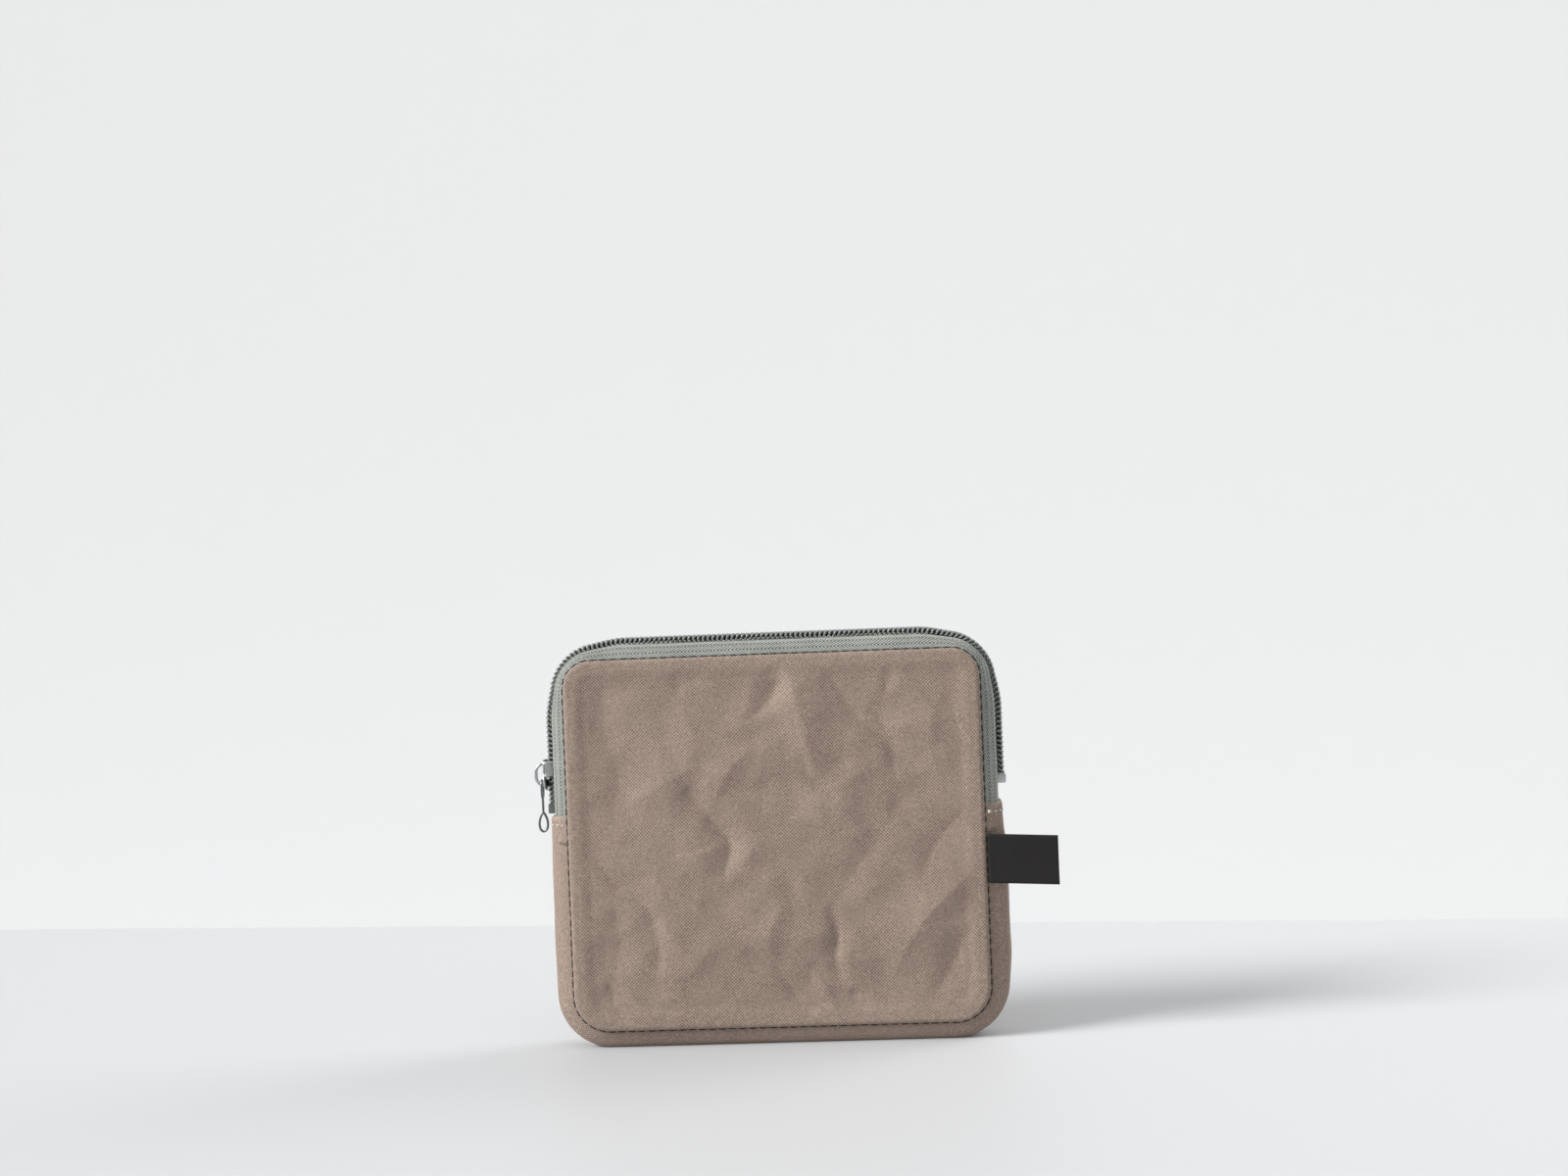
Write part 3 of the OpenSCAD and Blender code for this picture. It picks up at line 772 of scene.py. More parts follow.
def panel_object(side, folds, scuffs, seed):
    """One panel: cloth from seam to seam, with its raised edge, pillow and creases."""
    path = seam()
    bend = 1 - np.cos(np.linspace(0, math.pi / 2, 24))
    low_end, top_end = path.low + path.low_r, path.top - path.top_r
    middle = np.linspace(low_end, top_end, 140)[1:-1]
    rows = np.concatenate([path.low + bend * path.low_r, middle, path.top - bend[::-1] * path.top_r])
    t = np.linspace(-1, 1, 196)
    share_across = 0.68 * t + 0.32 * np.sin(t * math.pi / 2)
    past_low, past_top = np.maximum(low_end - rows, 0), np.maximum(rows - top_end, 0)
    half = path.half - path.low_r + np.sqrt(np.maximum(path.low_r ** 2 - past_low ** 2, 0))
    half += np.sqrt(np.maximum(path.top_r ** 2 - past_top ** 2, 0)) - path.top_r
    x = share_across[None, :] * half[:, None]
    z = np.repeat(rows[:, None], len(t), axis=1)
    out, wear_and_highlight = panel_relief(x, z, folds, scuffs, seed)
    base = SEAM_Y + 0.28 * MM
    y = SIDES[side] * (base + out)
    points = np.stack([x, y, z], -1)
    if side == "back":
        points, wear_and_highlight = points[:, ::-1], wear_and_highlight[:, ::-1]
        x, z = x[:, ::-1], z[:, ::-1]
    piece = grid_object(side + "_panel", points, np.stack([x, z], -1))
    mark_wear_and_highlight(piece, wear_and_highlight)
    return thicken(piece, cloth().canvas_t)


def build_panels():
    """Makes the front and back panels."""
    plans = {"front": (FRONT_FOLDS, FRONT_SCUFFS, 3), "back": (BACK_FOLDS, BACK_SCUFFS, 11)}
    for side, (folds, scuffs, seed) in plans.items():
        piece = dress(panel_object(side, folds, scuffs, seed), "canvas")
        over_fold(piece, side)
        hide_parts(side + "_panel_lower", side + "_panel_upper")


# ---------------------------------------------------------------- side strip, tapes and bindings

def bow(y, height):
    """Offset outwards of a bowed strip at y, flat in the middle and falling to the seams."""
    flat = cloth().flat_w / 2
    past = np.maximum(np.abs(y) - flat, 0) / (SEAM_Y - flat)
    return height * (1 - past ** 2)


def bulge(x, z):
    """Extra bow of the side strip, on its two upright stretches only."""
    upright = smooth((z - 10 * MM) / (18 * MM)) * smooth((STRIP_END - 2 * MM - z) / (16 * MM))
    return upright * np.where(x > 0, cloth().right_bulge, cloth().left_bulge)


# How far the hem that is folded under is sunk, so that it doesn't show through the strip.
HEM_SINK = 0.3 * MM
BINDING_T = 0.35 * MM


def build_side_strip():
    """Makes the side strip, with an end folded under on each side."""
    path, sizes = seam(), cloth()
    end = path.up_right(STRIP_END)
    turn = (STRIP_BOW - TAPE_OUT) / 2 - 0.02 * MM
    straight = np.linspace(-(end - turn), end - turn, 250)
    curl = np.linspace(0, math.pi, 9)[1:]
    under = np.linspace(0, sizes.hem, 7)[1:]
    reach = np.concatenate([turn * np.sin(curl), -under])
    drop = np.concatenate([turn * (1 - np.cos(curl)), np.full(len(under), 2 * turn)])
    s = np.concatenate([-(end - turn) - reach[::-1], straight, end - turn + reach])
    sunk = np.concatenate([drop[::-1], np.zeros(len(straight)), drop])
    straight_on = np.concatenate([np.zeros(len(curl)), under])
    curl_run = turn * np.concatenate([curl, np.full(len(under), math.pi)]) + straight_on
    along = np.concatenate([-(end - turn) - curl_run[::-1], straight, end - turn + curl_run])
    y = np.linspace(-SEAM_Y - 0.15 * MM, SEAM_Y + 0.15 * MM, 41)
    place, _ = path.at(s)
    widths = np.repeat(y[None], len(s), axis=0)
    crest = 1 - (np.abs(widths) / SEAM_Y) ** 2
    ripple = uneven(np.repeat(along[:, None], len(y), 1), widths, 11 * MM, 21) * 0.35 * MM
    extra = bulge(place[:, 0], place[:, 1])[:, None] * np.clip(crest, 0, 1)
    upright = smooth((place[:, 1] - 8 * MM) / (12 * MM))[:, None]
    calm = smooth((STRIP_END - 3 * MM - place[:, 1]) / (8 * MM))[:, None]
    height = STRIP_BOW - sunk[:, None]
    offsets = bow(widths, 1.0) * height + extra + ripple * np.clip(crest, 0, 1) * upright * calm
    offsets -= HEM_SINK * smooth(sunk / (2 * turn))[:, None]
    piece = swept("gusset_strip_cloth", s, offsets, widths, along=along)
    at_ends = 0.55 * np.exp(-((np.abs(along) - end) / (1.2 * MM)) ** 2)
    at_rims = 0.3 * np.exp(-((np.abs(widths) - 7.6 * MM) / (0.9 * MM)) ** 2)
    mark_wear_and_highlight(piece, np.repeat(at_ends[:, None], len(y), 1) + at_rims)
    thicken(piece, sizes.canvas_t)
    dress(piece, "canvas")
    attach(piece, "root")
    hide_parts("gusset_strip")


def build_tapes():
    """Makes the front and back zip tapes, from under one end of the strip to the other."""
    path, sizes = seam(), cloth()
    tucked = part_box("front_tape_lower")[0].z
    s = np.linspace(path.up_right(tucked), path.up_left(tucked), 300)
    for side, sign in SIDES.items():
        y = sign * np.linspace(SEAM_Y + 0.1 * MM, TAPE_EDGE, 19)
        if side == "back":
            y = y[::-1]
        widths = np.repeat(y[None], len(s), axis=0)
        ripple = uneven(np.repeat(s[:, None], len(y), 1), widths, 9 * MM, 31) * 0.12 * MM
        held = smooth((np.abs(widths) - 3 * MM) / (2 * MM)) * smooth((SEAM_Y - np.abs(widths)) / (2 * MM))
        rise = TAPE_OUT - 0.05 * MM
        offsets = (bow(widths, rise) + ripple * held) * path.taut(s)[:, None]
        piece = swept(side + "_tape", s, offsets, widths)
        thicken(piece, sizes.tape_t)
        dress(piece, "zip_tape")
        over_fold(piece, side)
        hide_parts(side + "_tape_lower", side + "_tape_upper")


def build_bindings():
    """Makes the folded tape over the raw edges inside, front and back."""
    path = seam()
    steps = 300
    s = np.arange(steps + 1) * (path.length / steps)
    for side, sign in SIDES.items():
        low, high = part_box(side + "_binding_lower")
        half = (high.y - low.y) / 2 - 0.08 * MM
        middle = (low.y + high.y) / 2
        start, end = -2.6 * MM, -6.6 * MM
        turn = np.linspace(math.pi / 2, -math.pi / 2, 9)
        leg = np.linspace(start, end, 7)
        offsets = np.concatenate([leg, end - half * np.cos(turn)[1:-1], leg[::-1]])
        flat = np.concatenate([np.full(len(leg), half), half * np.sin(turn)[1:-1], np.full(len(leg), -half)])
        offsets = np.repeat(offsets[None], len(s), axis=0)
        widths = middle + sign * np.repeat(flat[None], len(s), axis=0)
        widths = widths + uneven(s[:, None] + offsets, widths, 8 * MM, 41) * 0.08 * MM
        piece = swept(side + "_binding", s, offsets, widths)
        weld(piece)
        thicken(face_out(piece), BINDING_T)
        dress(piece, "binding")
        over_fold(piece, side)
        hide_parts(side + "_binding_lower", side + "_binding_upper")


# ---------------------------------------------------------------- what repeats along a line

class Nodes:
    """A Geometry Nodes tree under construction, with named inputs."""

    def __init__(self, name):
        self.tree = bpy.data.node_groups.new(name, "GeometryNodeTree")
        self.tree.interface.new_socket("Geometry", in_out="INPUT", socket_type="NodeSocketGeometry")
        self.tree.interface.new_socket("Geometry", in_out="OUTPUT", socket_type="NodeSocketGeometry")
        self.start = self.tree.nodes.new("NodeGroupInput")
        self.end = self.tree.nodes.new("NodeGroupOutput")

    def size(self, name, kind="NodeSocketFloat"):
        """Adds a named input and returns its socket."""
        self.tree.interface.new_socket(name, in_out="INPUT", socket_type=kind)
        return self.start.outputs[name]

    def node(self, kind, settings, inputs, output=0):
        made = self.tree.nodes.new(kind)
        for name, value in settings.items():
            setattr(made, name, value)
        for name, value in inputs.items():
            if isinstance(value, bpy.types.NodeSocket):
                self.tree.links.new(value, made.inputs[name])
            else:
                made.inputs[name].default_value = value
        return made.outputs[output]

    def maths(self, operation, *parts):
        return self.node("ShaderNodeMath", {"operation": operation}, dict(enumerate(parts)))

    def vector(self, operation, *parts):
        return self.node("ShaderNodeVectorMath", {"operation": operation}, dict(enumerate(parts)))

    def scaled(self, vector, amount):
        made = {0: vector, "Scale": amount}
        return self.node("ShaderNodeVectorMath", {"operation": "SCALE"}, made)

    def close(self, geometry):
        """Ends the tree: real geometry, then the material."""
        real = self.node("GeometryNodeRealizeInstances", {}, {"Geometry": geometry})
        dressed = self.node("GeometryNodeSetMaterial", {}, {"Geometry": real, "Material": self.size(
            "Material", "NodeSocketMaterial")})
        self.tree.links.new(dressed, self.end.inputs[0])
        return self.tree


def run_nodes(piece, tree, values):
    """Runs a tree on a piece with its inputs set by name, and keeps the result as a plain mesh."""
    modifier = piece.modifiers.new(tree.name, "NODES")
    modifier.node_group = tree
    sockets = {item.name: item.identifier for item in tree.interface.items_tree
               if item.in_out == "INPUT"}
    for name, value in values.items():
        modifier[sockets[name]] = value
    return settle(piece)


def line_object(name, points):
    """A line of edges for a tree to follow."""
    mesh = bpy.data.meshes.new(name)
    mesh.from_pydata(points.tolist(), [(i, i + 1) for i in range(len(points) - 1)], [])
    return make_object(name, mesh)


def line_along(s, offset, y):
    """Points at an offset outside the seam, at y."""
    place, normal = seam().at(s)
    flat = place + normal * np.reshape(offset, (-1, 1))
    return np.stack([flat[:, 0], np.full(len(s), y), flat[:, 1]], -1)


def coil_tree():
    """A flattened helix round the line: one loop of wire a pitch, its heads a little thicker."""
    squareness, head_start, head_growth = 1.22, 0.55, 0.55
    made = Nodes("coil_row")
    turns = made.size("Turns")
    steps = made.size("Steps")
    wide = made.size("Half width")
    tall = made.size("Half height")
    wire = made.size("Wire radius")
    lead = made.size("Lead")
    toward = made.size("Toward")
    line = made.node("GeometryNodeMeshToCurve", {}, {"Mesh": made.start.outputs["Geometry"]})
    count = made.maths("ADD", made.maths("MULTIPLY", turns, steps), 1.0)
    line = made.node("GeometryNodeResampleCurve", {}, {"Curve": line, "Count": count})
    step = made.node("GeometryNodeInputIndex", {}, {})
    angle = made.maths("MULTIPLY", made.maths("DIVIDE", step, steps), 2 * math.pi)
    angle = made.maths("ADD", angle, lead)
    across = made.maths("COSINE", angle)
    square = made.maths("MULTIPLY", across, squareness)
    square = made.maths("MAXIMUM", made.maths("MINIMUM", square, 1.0), -1.0)
    up = made.maths("SINE", angle)
    ahead = made.node("GeometryNodeInputTangent", {}, {})
    outward = made.vector("CROSS_PRODUCT", (0.0, 1.0, 0.0), ahead)
    reach = made.maths("MULTIPLY", made.maths("MULTIPLY", square, wide), toward)
    sideways = made.scaled((0.0, 1.0, 0.0), reach)
    lifted = made.scaled(outward, made.maths("MULTIPLY", up, tall))
    moved = made.vector("ADD", sideways, lifted)
    line = made.node("GeometryNodeSetPosition", {}, {"Geometry": line, "Offset": moved})
    head = made.maths("MAXIMUM", made.maths("SUBTRACT", across, head_start), 0.0)
    thick = made.maths("ADD", 1.0, made.maths("MULTIPLY", head, head_growth))
    line = made.node("GeometryNodeSetCurveRadius", {}, {"Curve": line, "Radius": thick})
    ring = made.node("GeometryNodeCurvePrimitiveCircle", {}, {"Resolution": 6, "Radius": wire})
    tube = made.node("GeometryNodeCurveToMesh", {}, {"Curve": line, "Profile Curve": ring,
                                                     "Fill Caps": True})
    return made.close(made.node("GeometryNodeSetShadeSmooth", {}, {"Geometry": tube}))


def build_coils():
    """Makes the two rows of the coil, each loop between two loops of the other row."""
    path, sizes = seam(), zipper()
    tree = coil_tree()
    wire = sizes.coil_wire / 2
    first, last = path.up_right(COIL_RIGHT_END), path.up_left(COIL_LEFT_END)
    turns = round((last - first) / sizes.coil_pitch)
    inner, outer = -sizes.coil_meet, COIL_OUTER
    s = np.linspace(first, last, 420)
    for side, sign in SIDES.items():
        lead = 0 if side == "front" else math.pi
        middle = sign * (inner + outer) / 2
        line = line_along(s, (TAPE_OUT + COIL_OUT) / 2 * path.taut(s), middle)
        piece = line_object(side + "_coil", line)
        run_nodes(piece, tree, {
            "Turns": float(turns), "Steps": 12.0, "Half width": (outer - inner) / 2 - wire,
            "Half height": (COIL_OUT - TAPE_OUT) / 2 - wire, "Wire radius": wire,
            "Lead": lead, "Toward": -float(sign), "Material": finish_of("zip_coil")})
        dress(piece, "zip_coil")
        over_fold(piece, side)
        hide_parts(side + "_coil_lower", side + "_coil_upper")


def build_coil_cores():
    """Makes the cord that runs inside each row of the coil, near-black as painted shade for the dark inside
    of the coil.
    """
    path, sizes = seam(), zipper()
    s = np.linspace(path.up_right(COIL_RIGHT_END), path.up_left(COIL_LEFT_END), 300)
    turn = np.linspace(0, 2 * math.pi, 11)[:-1]
    tall = (COIL_OUT - TAPE_OUT) / 2 - 0.62 * sizes.coil_wire
    wide = (COIL_OUTER + sizes.coil_meet) / 2 - 0.95 * sizes.coil_wire
    for side, sign in SIDES.items():
        middle = sign * ((COIL_OUTER - sizes.coil_meet) / 2 + 0.25 * MM)
        widths = np.repeat((middle + sign * wide * np.cos(turn))[None], len(s), axis=0)
        rise = (TAPE_OUT + COIL_OUT) / 2 + tall * np.sin(turn)
        offsets = rise[None] * path.taut(s)[:, None]
        piece = close_ends(swept(side + "_coil_core_and_shade", s, offsets, widths, closed=True), len(s), len(turn))
        dress(face_out(piece), "zip_coil", finish="coil_core_and_shade")
        over_fold(piece, side)


def stitch_tree():
    """A short rounded thread at each point along the line, lying along it."""
    made = Nodes("stitch_row")
    pitch = made.size("Pitch")
    reach = made.size("Stitch length")
    thread = made.size("Thread radius")
    sag = made.size("Unevenness")
    line = made.node("GeometryNodeMeshToCurve", {}, {"Mesh": made.start.outputs["Geometry"]})
    spots = made.node("GeometryNodeCurveToPoints", {"mode": "LENGTH"}, {"Curve": line, "Length": pitch}).node
    drawn = made.node("FunctionNodeRandomValue", {"data_type": "FLOAT_VECTOR"},
                      {"Min": (-1, -1, -1), "Max": (1, 1, 1), "Seed": 5})
    shifted = made.node("GeometryNodeSetPosition", {}, {"Geometry": spots.outputs["Points"],
                                                        "Offset": made.scaled(drawn, sag)})
    grain = made.node("GeometryNodeMeshUVSphere", {}, {"Segments": 6, "Rings": 6, "Radius": 1.0})
    size = made.node("ShaderNodeCombineXYZ", {}, {"X": thread, "Y": thread,
                                                  "Z": made.maths("MULTIPLY", reach, 0.5)})
    grain = made.node("GeometryNodeTransform", {}, {"Geometry": grain, "Scale": size})
    placed = made.node("GeometryNodeInstanceOnPoints", {}, {
        "Points": shifted, "Instance": grain, "Rotation": spots.outputs["Rotation"]})
    return made.close(made.node("GeometryNodeSetShadeSmooth", {}, {"Geometry": placed}))


def stitch_row(name, line, pitch, reach, thread, slot):
    """A row of stitches along a line of points."""
    piece = line_object(name, line)
    run_nodes(piece, bpy.data.node_groups.get("stitch_row") or stitch_tree(), {
        "Pitch": pitch, "Stitch length": reach, "Thread radius": thread / 2,
        "Unevenness": 0.04 * MM, "Material": finish_of(slot)})
    return dress(piece, slot)


def build_seam_stitches():
    """Makes the dark stitches round both seams."""
    sizes = zipper()
    s = np.linspace(0, seam().length, 460)
    for side, sign in SIDES.items():
        line = line_along(s, 0.22 * MM, sign * (SEAM_Y + 0.3 * MM))
        piece = stitch_row(side + "_seam_stitches", line, sizes.stitch_pitch, sizes.stitch_l,
                           sizes.stitch_d, "seam_thread")
        over_fold(piece, side)
        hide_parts(side + "_seam_thread_lower", side + "_seam_thread_upper")


def build_coil_stitches():
    """Makes the sewing that holds each row of the coil on its tape."""
    path, sizes = seam(), zipper()
    s = np.linspace(path.up_right(COIL_RIGHT_END), path.up_left(COIL_LEFT_END), 420)
    for side, sign in SIDES.items():
        line = line_along(s, (TAPE_OUT + 0.45 * MM) * path.taut(s), sign * (COIL_OUTER + 0.3 * MM))
        piece = stitch_row(side + "_coil_stitches", line, sizes.coil_pitch, 0.8 * MM,
                           0.62 * MM, "zip_coil")
        over_fold(piece, side)


# ---------------------------------------------------------------- label, metal and end stitches

def build_label():
    """Makes the blank ribbon label: one ribbon, folded at its outer end."""
    sizes = zipper()
    layer = sizes.label_t
    gap = (LABEL_HIGH.y - LABEL_LOW.y) / 2 - layer / 2
    middle = (LABEL_LOW.y + LABEL_HIGH.y) / 2
    start, end = LABEL_LOW.x, LABEL_HIGH.x
    turned = np.linspace(-math.pi / 2, math.pi / 2, 11)[1:-1]
    leg = np.linspace(start, end - gap, 26)
    run_x = np.concatenate([leg, end - gap + gap * np.cos(turned), leg[::-1]])
    run_y = np.concatenate([np.full(len(leg), -gap), gap * np.sin(turned), np.full(len(leg), gap)])
    droop = math.radians(3)
    wide = LABEL_HIGH.z - LABEL_LOW.z - (end - start) * math.tan(droop)
    across = np.linspace(0, wide, 19)
    x = np.repeat(run_x[:, None], len(across), 1)
    reach = (x - start) / (end - start)
    z = LABEL_HIGH.z - wide + across[None] - (x - start) * math.tan(droop)
    curl = 0.5 * MM * reach ** 2 * np.sin(across / wide * math.pi)[None] - 0.3 * MM * reach
    pinch = 1 - 0.55 * (1 - smooth(reach / 0.35)) * smooth((reach + 0.02) / 0.05)
    y = middle + run_y[:, None] * pinch + curl
    points = np.stack([x, y, z], -1)
    along = np.concatenate([[0], np.cumsum(np.hypot(np.diff(run_x), np.diff(run_y)))])
    piece = grid_object("side_label_ribbon", points,
                        np.stack([np.repeat(along[:, None], len(across), 1),
                                  np.repeat(across[None], len(run_x), 0)], -1))
    thicken(piece, layer, offset=0)
    dress(piece, "label_ribbon")
    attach(piece, "root")
    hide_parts("side_label")


def eased(node, name, width):
    """A copy of a metal part with its sharp edges eased, as tumbling leaves them."""
    mesh = frame["nodes"][node].data.copy()
    mesh.name = name
    with reworked(mesh) as work:
        bmesh.ops.remove_doubles(work, verts=work.verts, dist=0.002 * MM)
        bmesh.ops.dissolve_limit(work, angle_limit=math.radians(1.5), verts=work.verts, edges=work.edges)
    piece = make_object(name, mesh)
    ease = piece.modifiers.new("Eased edges", "BEVEL")
    ease.width = width
    ease.segments = 2
    ease.limit_method = "ANGLE"
    ease.angle_limit = math.radians(32)
    ease.harden_normals = False
    settle(piece)
    shade_smooth(piece.data)
    piece.data.set_sharp_from_angle(angle=math.radians(38))
    return piece


# Metal parts that only have their edges eased: node, piece, body, width of the easing in mm, and slot.
METAL_PARTS = [
    ("slider_crown", "slider_crown_eased", "slider", 0.16, "slider_metal"),
    ("front_top_stop", "front_top_stop_eased", "root", 0.14, "pull_metal"),
    ("back_top_stop", "back_top_stop_eased", "root", 0.14, "pull_metal"),
]


def bar(name, path, half_flat, half_thick, flat_way, closed=False):
    """A bar with rounded edges along a path: half_flat wide along flat_way, half_thick across both."""
    path = np.array(path, float)
    ahead = np.roll(path, -1, 0) - np.roll(path, 1, 0) if closed else np.gradient(path, axis=0)
    ahead /= np.linalg.norm(ahead, axis=1)[:, None]
    flat = np.repeat(np.array(flat_way, float)[None], len(path), axis=0)
    thick = np.cross(ahead, flat)
    thick /= np.linalg.norm(thick, axis=1)[:, None]
    turn = np.linspace(0, 2 * math.pi, 17)[:-1]
    flats = np.broadcast_to(np.asarray(half_flat, float), len(path))[:, None, None]
    thicks = np.broadcast_to(np.asarray(half_thick, float), len(path))[:, None, None]
    flats = flats * full(np.cos(turn), 0.5)[None, :, None]
    thicks = thicks * full(np.sin(turn), 0.5)[None, :, None]
    points = path[:, None] + (flats * flat[:, None] + thicks * thick[:, None])
    if closed:
        points = np.concatenate([points, points[:1]])
    flat_uv = np.stack(np.meshgrid(np.arange(len(turn) + 1) * 0.1 * MM, np.arange(len(points)) * MM), -1)
    piece = grid_object(name, points, flat_uv, closed=True)
    if closed:
        return face_out(weld(piece, 0.001 * MM))
    return face_out(close_ends(piece, len(points), len(turn)))


def joined(name, pieces):
    """Joins pieces into one new piece of that name, and removes them."""
    whole = bmesh.new()
    for piece in pieces:
        whole.from_mesh(piece.data)
    mesh = bpy.data.meshes.new(name)
    whole.to_mesh(mesh)
    whole.free()
    for piece in pieces:
        bpy.data.objects.remove(piece)
    shade_smooth(mesh)
    return make_object(name, mesh)


# Outline of the slider's plates: shares of their length from the top, and of half their width there.
SHIELD = [(0.0, 0.50), (0.03, 0.66), (0.09, 0.76), (0.2, 0.80), (0.42, 0.83), (0.54, 0.90), (0.64, 0.985),
          (0.74, 1.0), (0.84, 0.93), (0.92, 0.75), (0.975, 0.5), (1.0, 0.24)]


def slider_plate(name, inner, outer, nose_in):
    """One plate of the slider: a shield between two distances out, its nose bent inwards."""
    long, half = SLIDER_HIGH.z - SLIDER_LOW.z, SLIDER_HIGH.y
    at, wide = np.array(SHIELD).T
    reach = (1 - np.cos(np.linspace(0, math.pi, 30))) / 2
    halves = np.interp(reach, at, wide) * half
    z = SLIDER_HIGH.z - reach * long
    t = np.linspace(-1, 1, 13)
    edge = 0.16 * MM * (1 - np.clip((1 - np.abs(t)) / 0.12, 0, 1)) ** 2
    bend = nose_in * smooth((reach - 0.55) / 0.45) ** 1.3
    work = bmesh.new()
    sheets = []
    for out, turned, bent in ((outer, 1, 1), (inner, -1, 0.35)):
        sheets.append([[work.verts.new((-(out - turned * edge[j] - bend[i] * bent), t[j] * halves[i], z[i]))
                        for j in range(len(t))] for i in range(len(z))])
    for sheet in sheets:
        for i in range(len(z) - 1):
            for j in range(len(t) - 1):
                work.faces.new((sheet[i][j], sheet[i][j + 1], sheet[i + 1][j + 1], sheet[i + 1][j]))
    top, low = sheets
    rim = [(i, 0) for i in range(len(z))] + [(len(z) - 1, j) for j in range(1, len(t))]
    rim += [(i, len(t) - 1) for i in range(len(z) - 2, -1, -1)] + [(0, j) for j in range(len(t) - 2, 0, -1)]
    for (a, b), (c, d) in zip(rim, rim[1:] + rim[:1]):
        work.faces.new((top[a][b], top[c][d], low[c][d], low[a][b]))
    mesh = bpy.data.meshes.new(name)
    work.to_mesh(mesh)
    work.free()
    return face_out(make_object(name, mesh))


def build_slider():
    """Makes the slider: an outer and an inner plate, two flanges round the coil and the post between them."""
    long, half = SLIDER_HIGH.z - SLIDER_LOW.z, SLIDER_HIGH.y
    outer_face, inner_face = -SLIDER_LOW.x, -SLIDER_HIGH.x
    plate, wall, nose_bend = 0.85 * MM, 0.42 * MM, 0.45 * MM
    tape_slot = TAPE_OUT + 0.35 * MM
    flange_start, flange_end = 0.05, 0.56
    post_z, post_half_l, post_half_t = SLIDER_LOW.z + 2.2 * MM, 1.1 * MM, 0.22 * MM
    parts = [slider_plate("outer_plate", outer_face - plate, outer_face, nose_bend),
             slider_plate("inner_plate", inner_face, inner_face + plate, 0.0)]
    for sign in (-1, 1):
        reach = np.linspace(flange_start, flange_end, 12)
        at, wide = np.array(SHIELD).T
        z = SLIDER_HIGH.z - reach * long
        y = sign * (np.interp(reach, at, wide) * half - wall)
        low, high = SEAM_HALF + tape_slot, outer_face - plate / 2
        middle = np.full(len(z), -(low + high) / 2)
        tall = (high - low) / 2 * np.clip((1.02 - reach / flange_end) / 0.08, 0.35, 1)
        path = np.stack([middle - ((high - low) / 2 - tall), y, z], -1)
        parts.append(bar("flange", path, tall, wall, (1, 0, 0)))
    post = [(-(inner_face + plate), 0, post_z), (-(outer_face - plate), 0, post_z)]
    parts.append(bar("post", post, post_half_l, post_half_t, (0, 0, 1)))
    piece = joined("slider_plates", parts)
    dress(piece, "slider_metal")
    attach(piece, "slider")
    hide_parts("slider_body")


def build_pull():
    """Makes the pull: a windowed head on its cross bar, a thin neck and a drop-shaped loop."""
    swing = next(joint for joint in frame["joints"] if joint["name"] == "pull_swing")
    axis = swing["pos_m"]
    centre = (PULL_LOW.x + PULL_HIGH.x) / 2
    head_l, loop_l, overlap = 5.2 * MM, 6.6 * MM, 0.2 * MM
    arm, half, half_t = 0.45 * MM, PULL_HIGH.y, 0.3 * MM
    top, loop_top = axis[2], PULL_LOW.z + loop_l
    turn = np.linspace(0, 2 * math.pi, 33)[:-1]
    window = np.stack([np.full(len(turn), axis[0]), (half - arm) * full(np.sin(turn), 0.6),
                       top - head_l / 2 + head_l / 2 * full(np.cos(turn), 0.7)], -1)
    parts = [bar("head", window, half_t, arm, (1, 0, 0), closed=True)]
    neck_z = np.linspace(top - head_l, loop_top - overlap, 8)
    neck_x = axis[0] + np.linspace(0, centre - axis[0], len(neck_z))
    neck = np.stack([neck_x, np.zeros(len(neck_z)), neck_z], -1)
    parts.append(bar("neck", neck, np.linspace(1.15, 0.8, len(neck_z)) * MM, half_t, (0, 1, 0)))
    turn = np.linspace(0, 2 * math.pi, 49)[:-1]
    tall, wall, loop_half_w = (loop_top - PULL_LOW.z) / 2, 0.32 * MM, 0.75 * MM
    # At its widest the drop is 0.84 of this value, so it stays just inside the pull's box.
    wide = ((PULL_HIGH.x - PULL_LOW.x) / 2 - wall) / 0.88
    drop = np.stack([centre + wide * np.sin(turn) * np.sin(turn / 2) ** 0.6, np.zeros(len(turn)),
                     PULL_LOW.z + tall + (tall - wall) * np.cos(turn)], -1)
    parts.append(bar("loop", drop, loop_half_w, wall, (0, 1, 0), closed=True))
    piece = joined("pull_tab_drop", parts)
    dress(piece, "pull_metal")
    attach(piece, "pull")
    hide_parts("pull_tab")


def build_clamp():
    """Makes the bottom stop: a strip of metal bent round both rows of the coil."""
    closing, thick, fullness = 0.83, 0.3 * MM, 0.35
    turn = np.linspace(-closing * math.pi, closing * math.pi, 41)
    middle = (CLAMP_LOW.x + CLAMP_HIGH.x) / 2
    deep, half = (CLAMP_HIGH.x - CLAMP_LOW.x) / 2 - thick, CLAMP_HIGH.y - thick
    x = middle + deep * full(np.cos(turn), fullness)
    y = half * full(np.sin(turn), fullness)
    path = np.stack([x, y, np.full(len(turn), (CLAMP_LOW.z + CLAMP_HIGH.z) / 2)], -1)
    piece = bar("bottom_stop_clamp", path, (CLAMP_HIGH.z - CLAMP_LOW.z) / 2, thick, (0, 0, 1))
    dress(piece, "slider_metal")
    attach(piece, "root")
    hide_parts("bottom_stop")


def build_metal():
    """Makes the slider, its crown, the pull and the stops."""
    build_slider()
    build_pull()
    build_clamp()
    for node, name, body, width, slot in METAL_PARTS:
        piece = dress(eased(node, name, width * MM), slot)
        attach(piece, body)
        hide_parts(node)


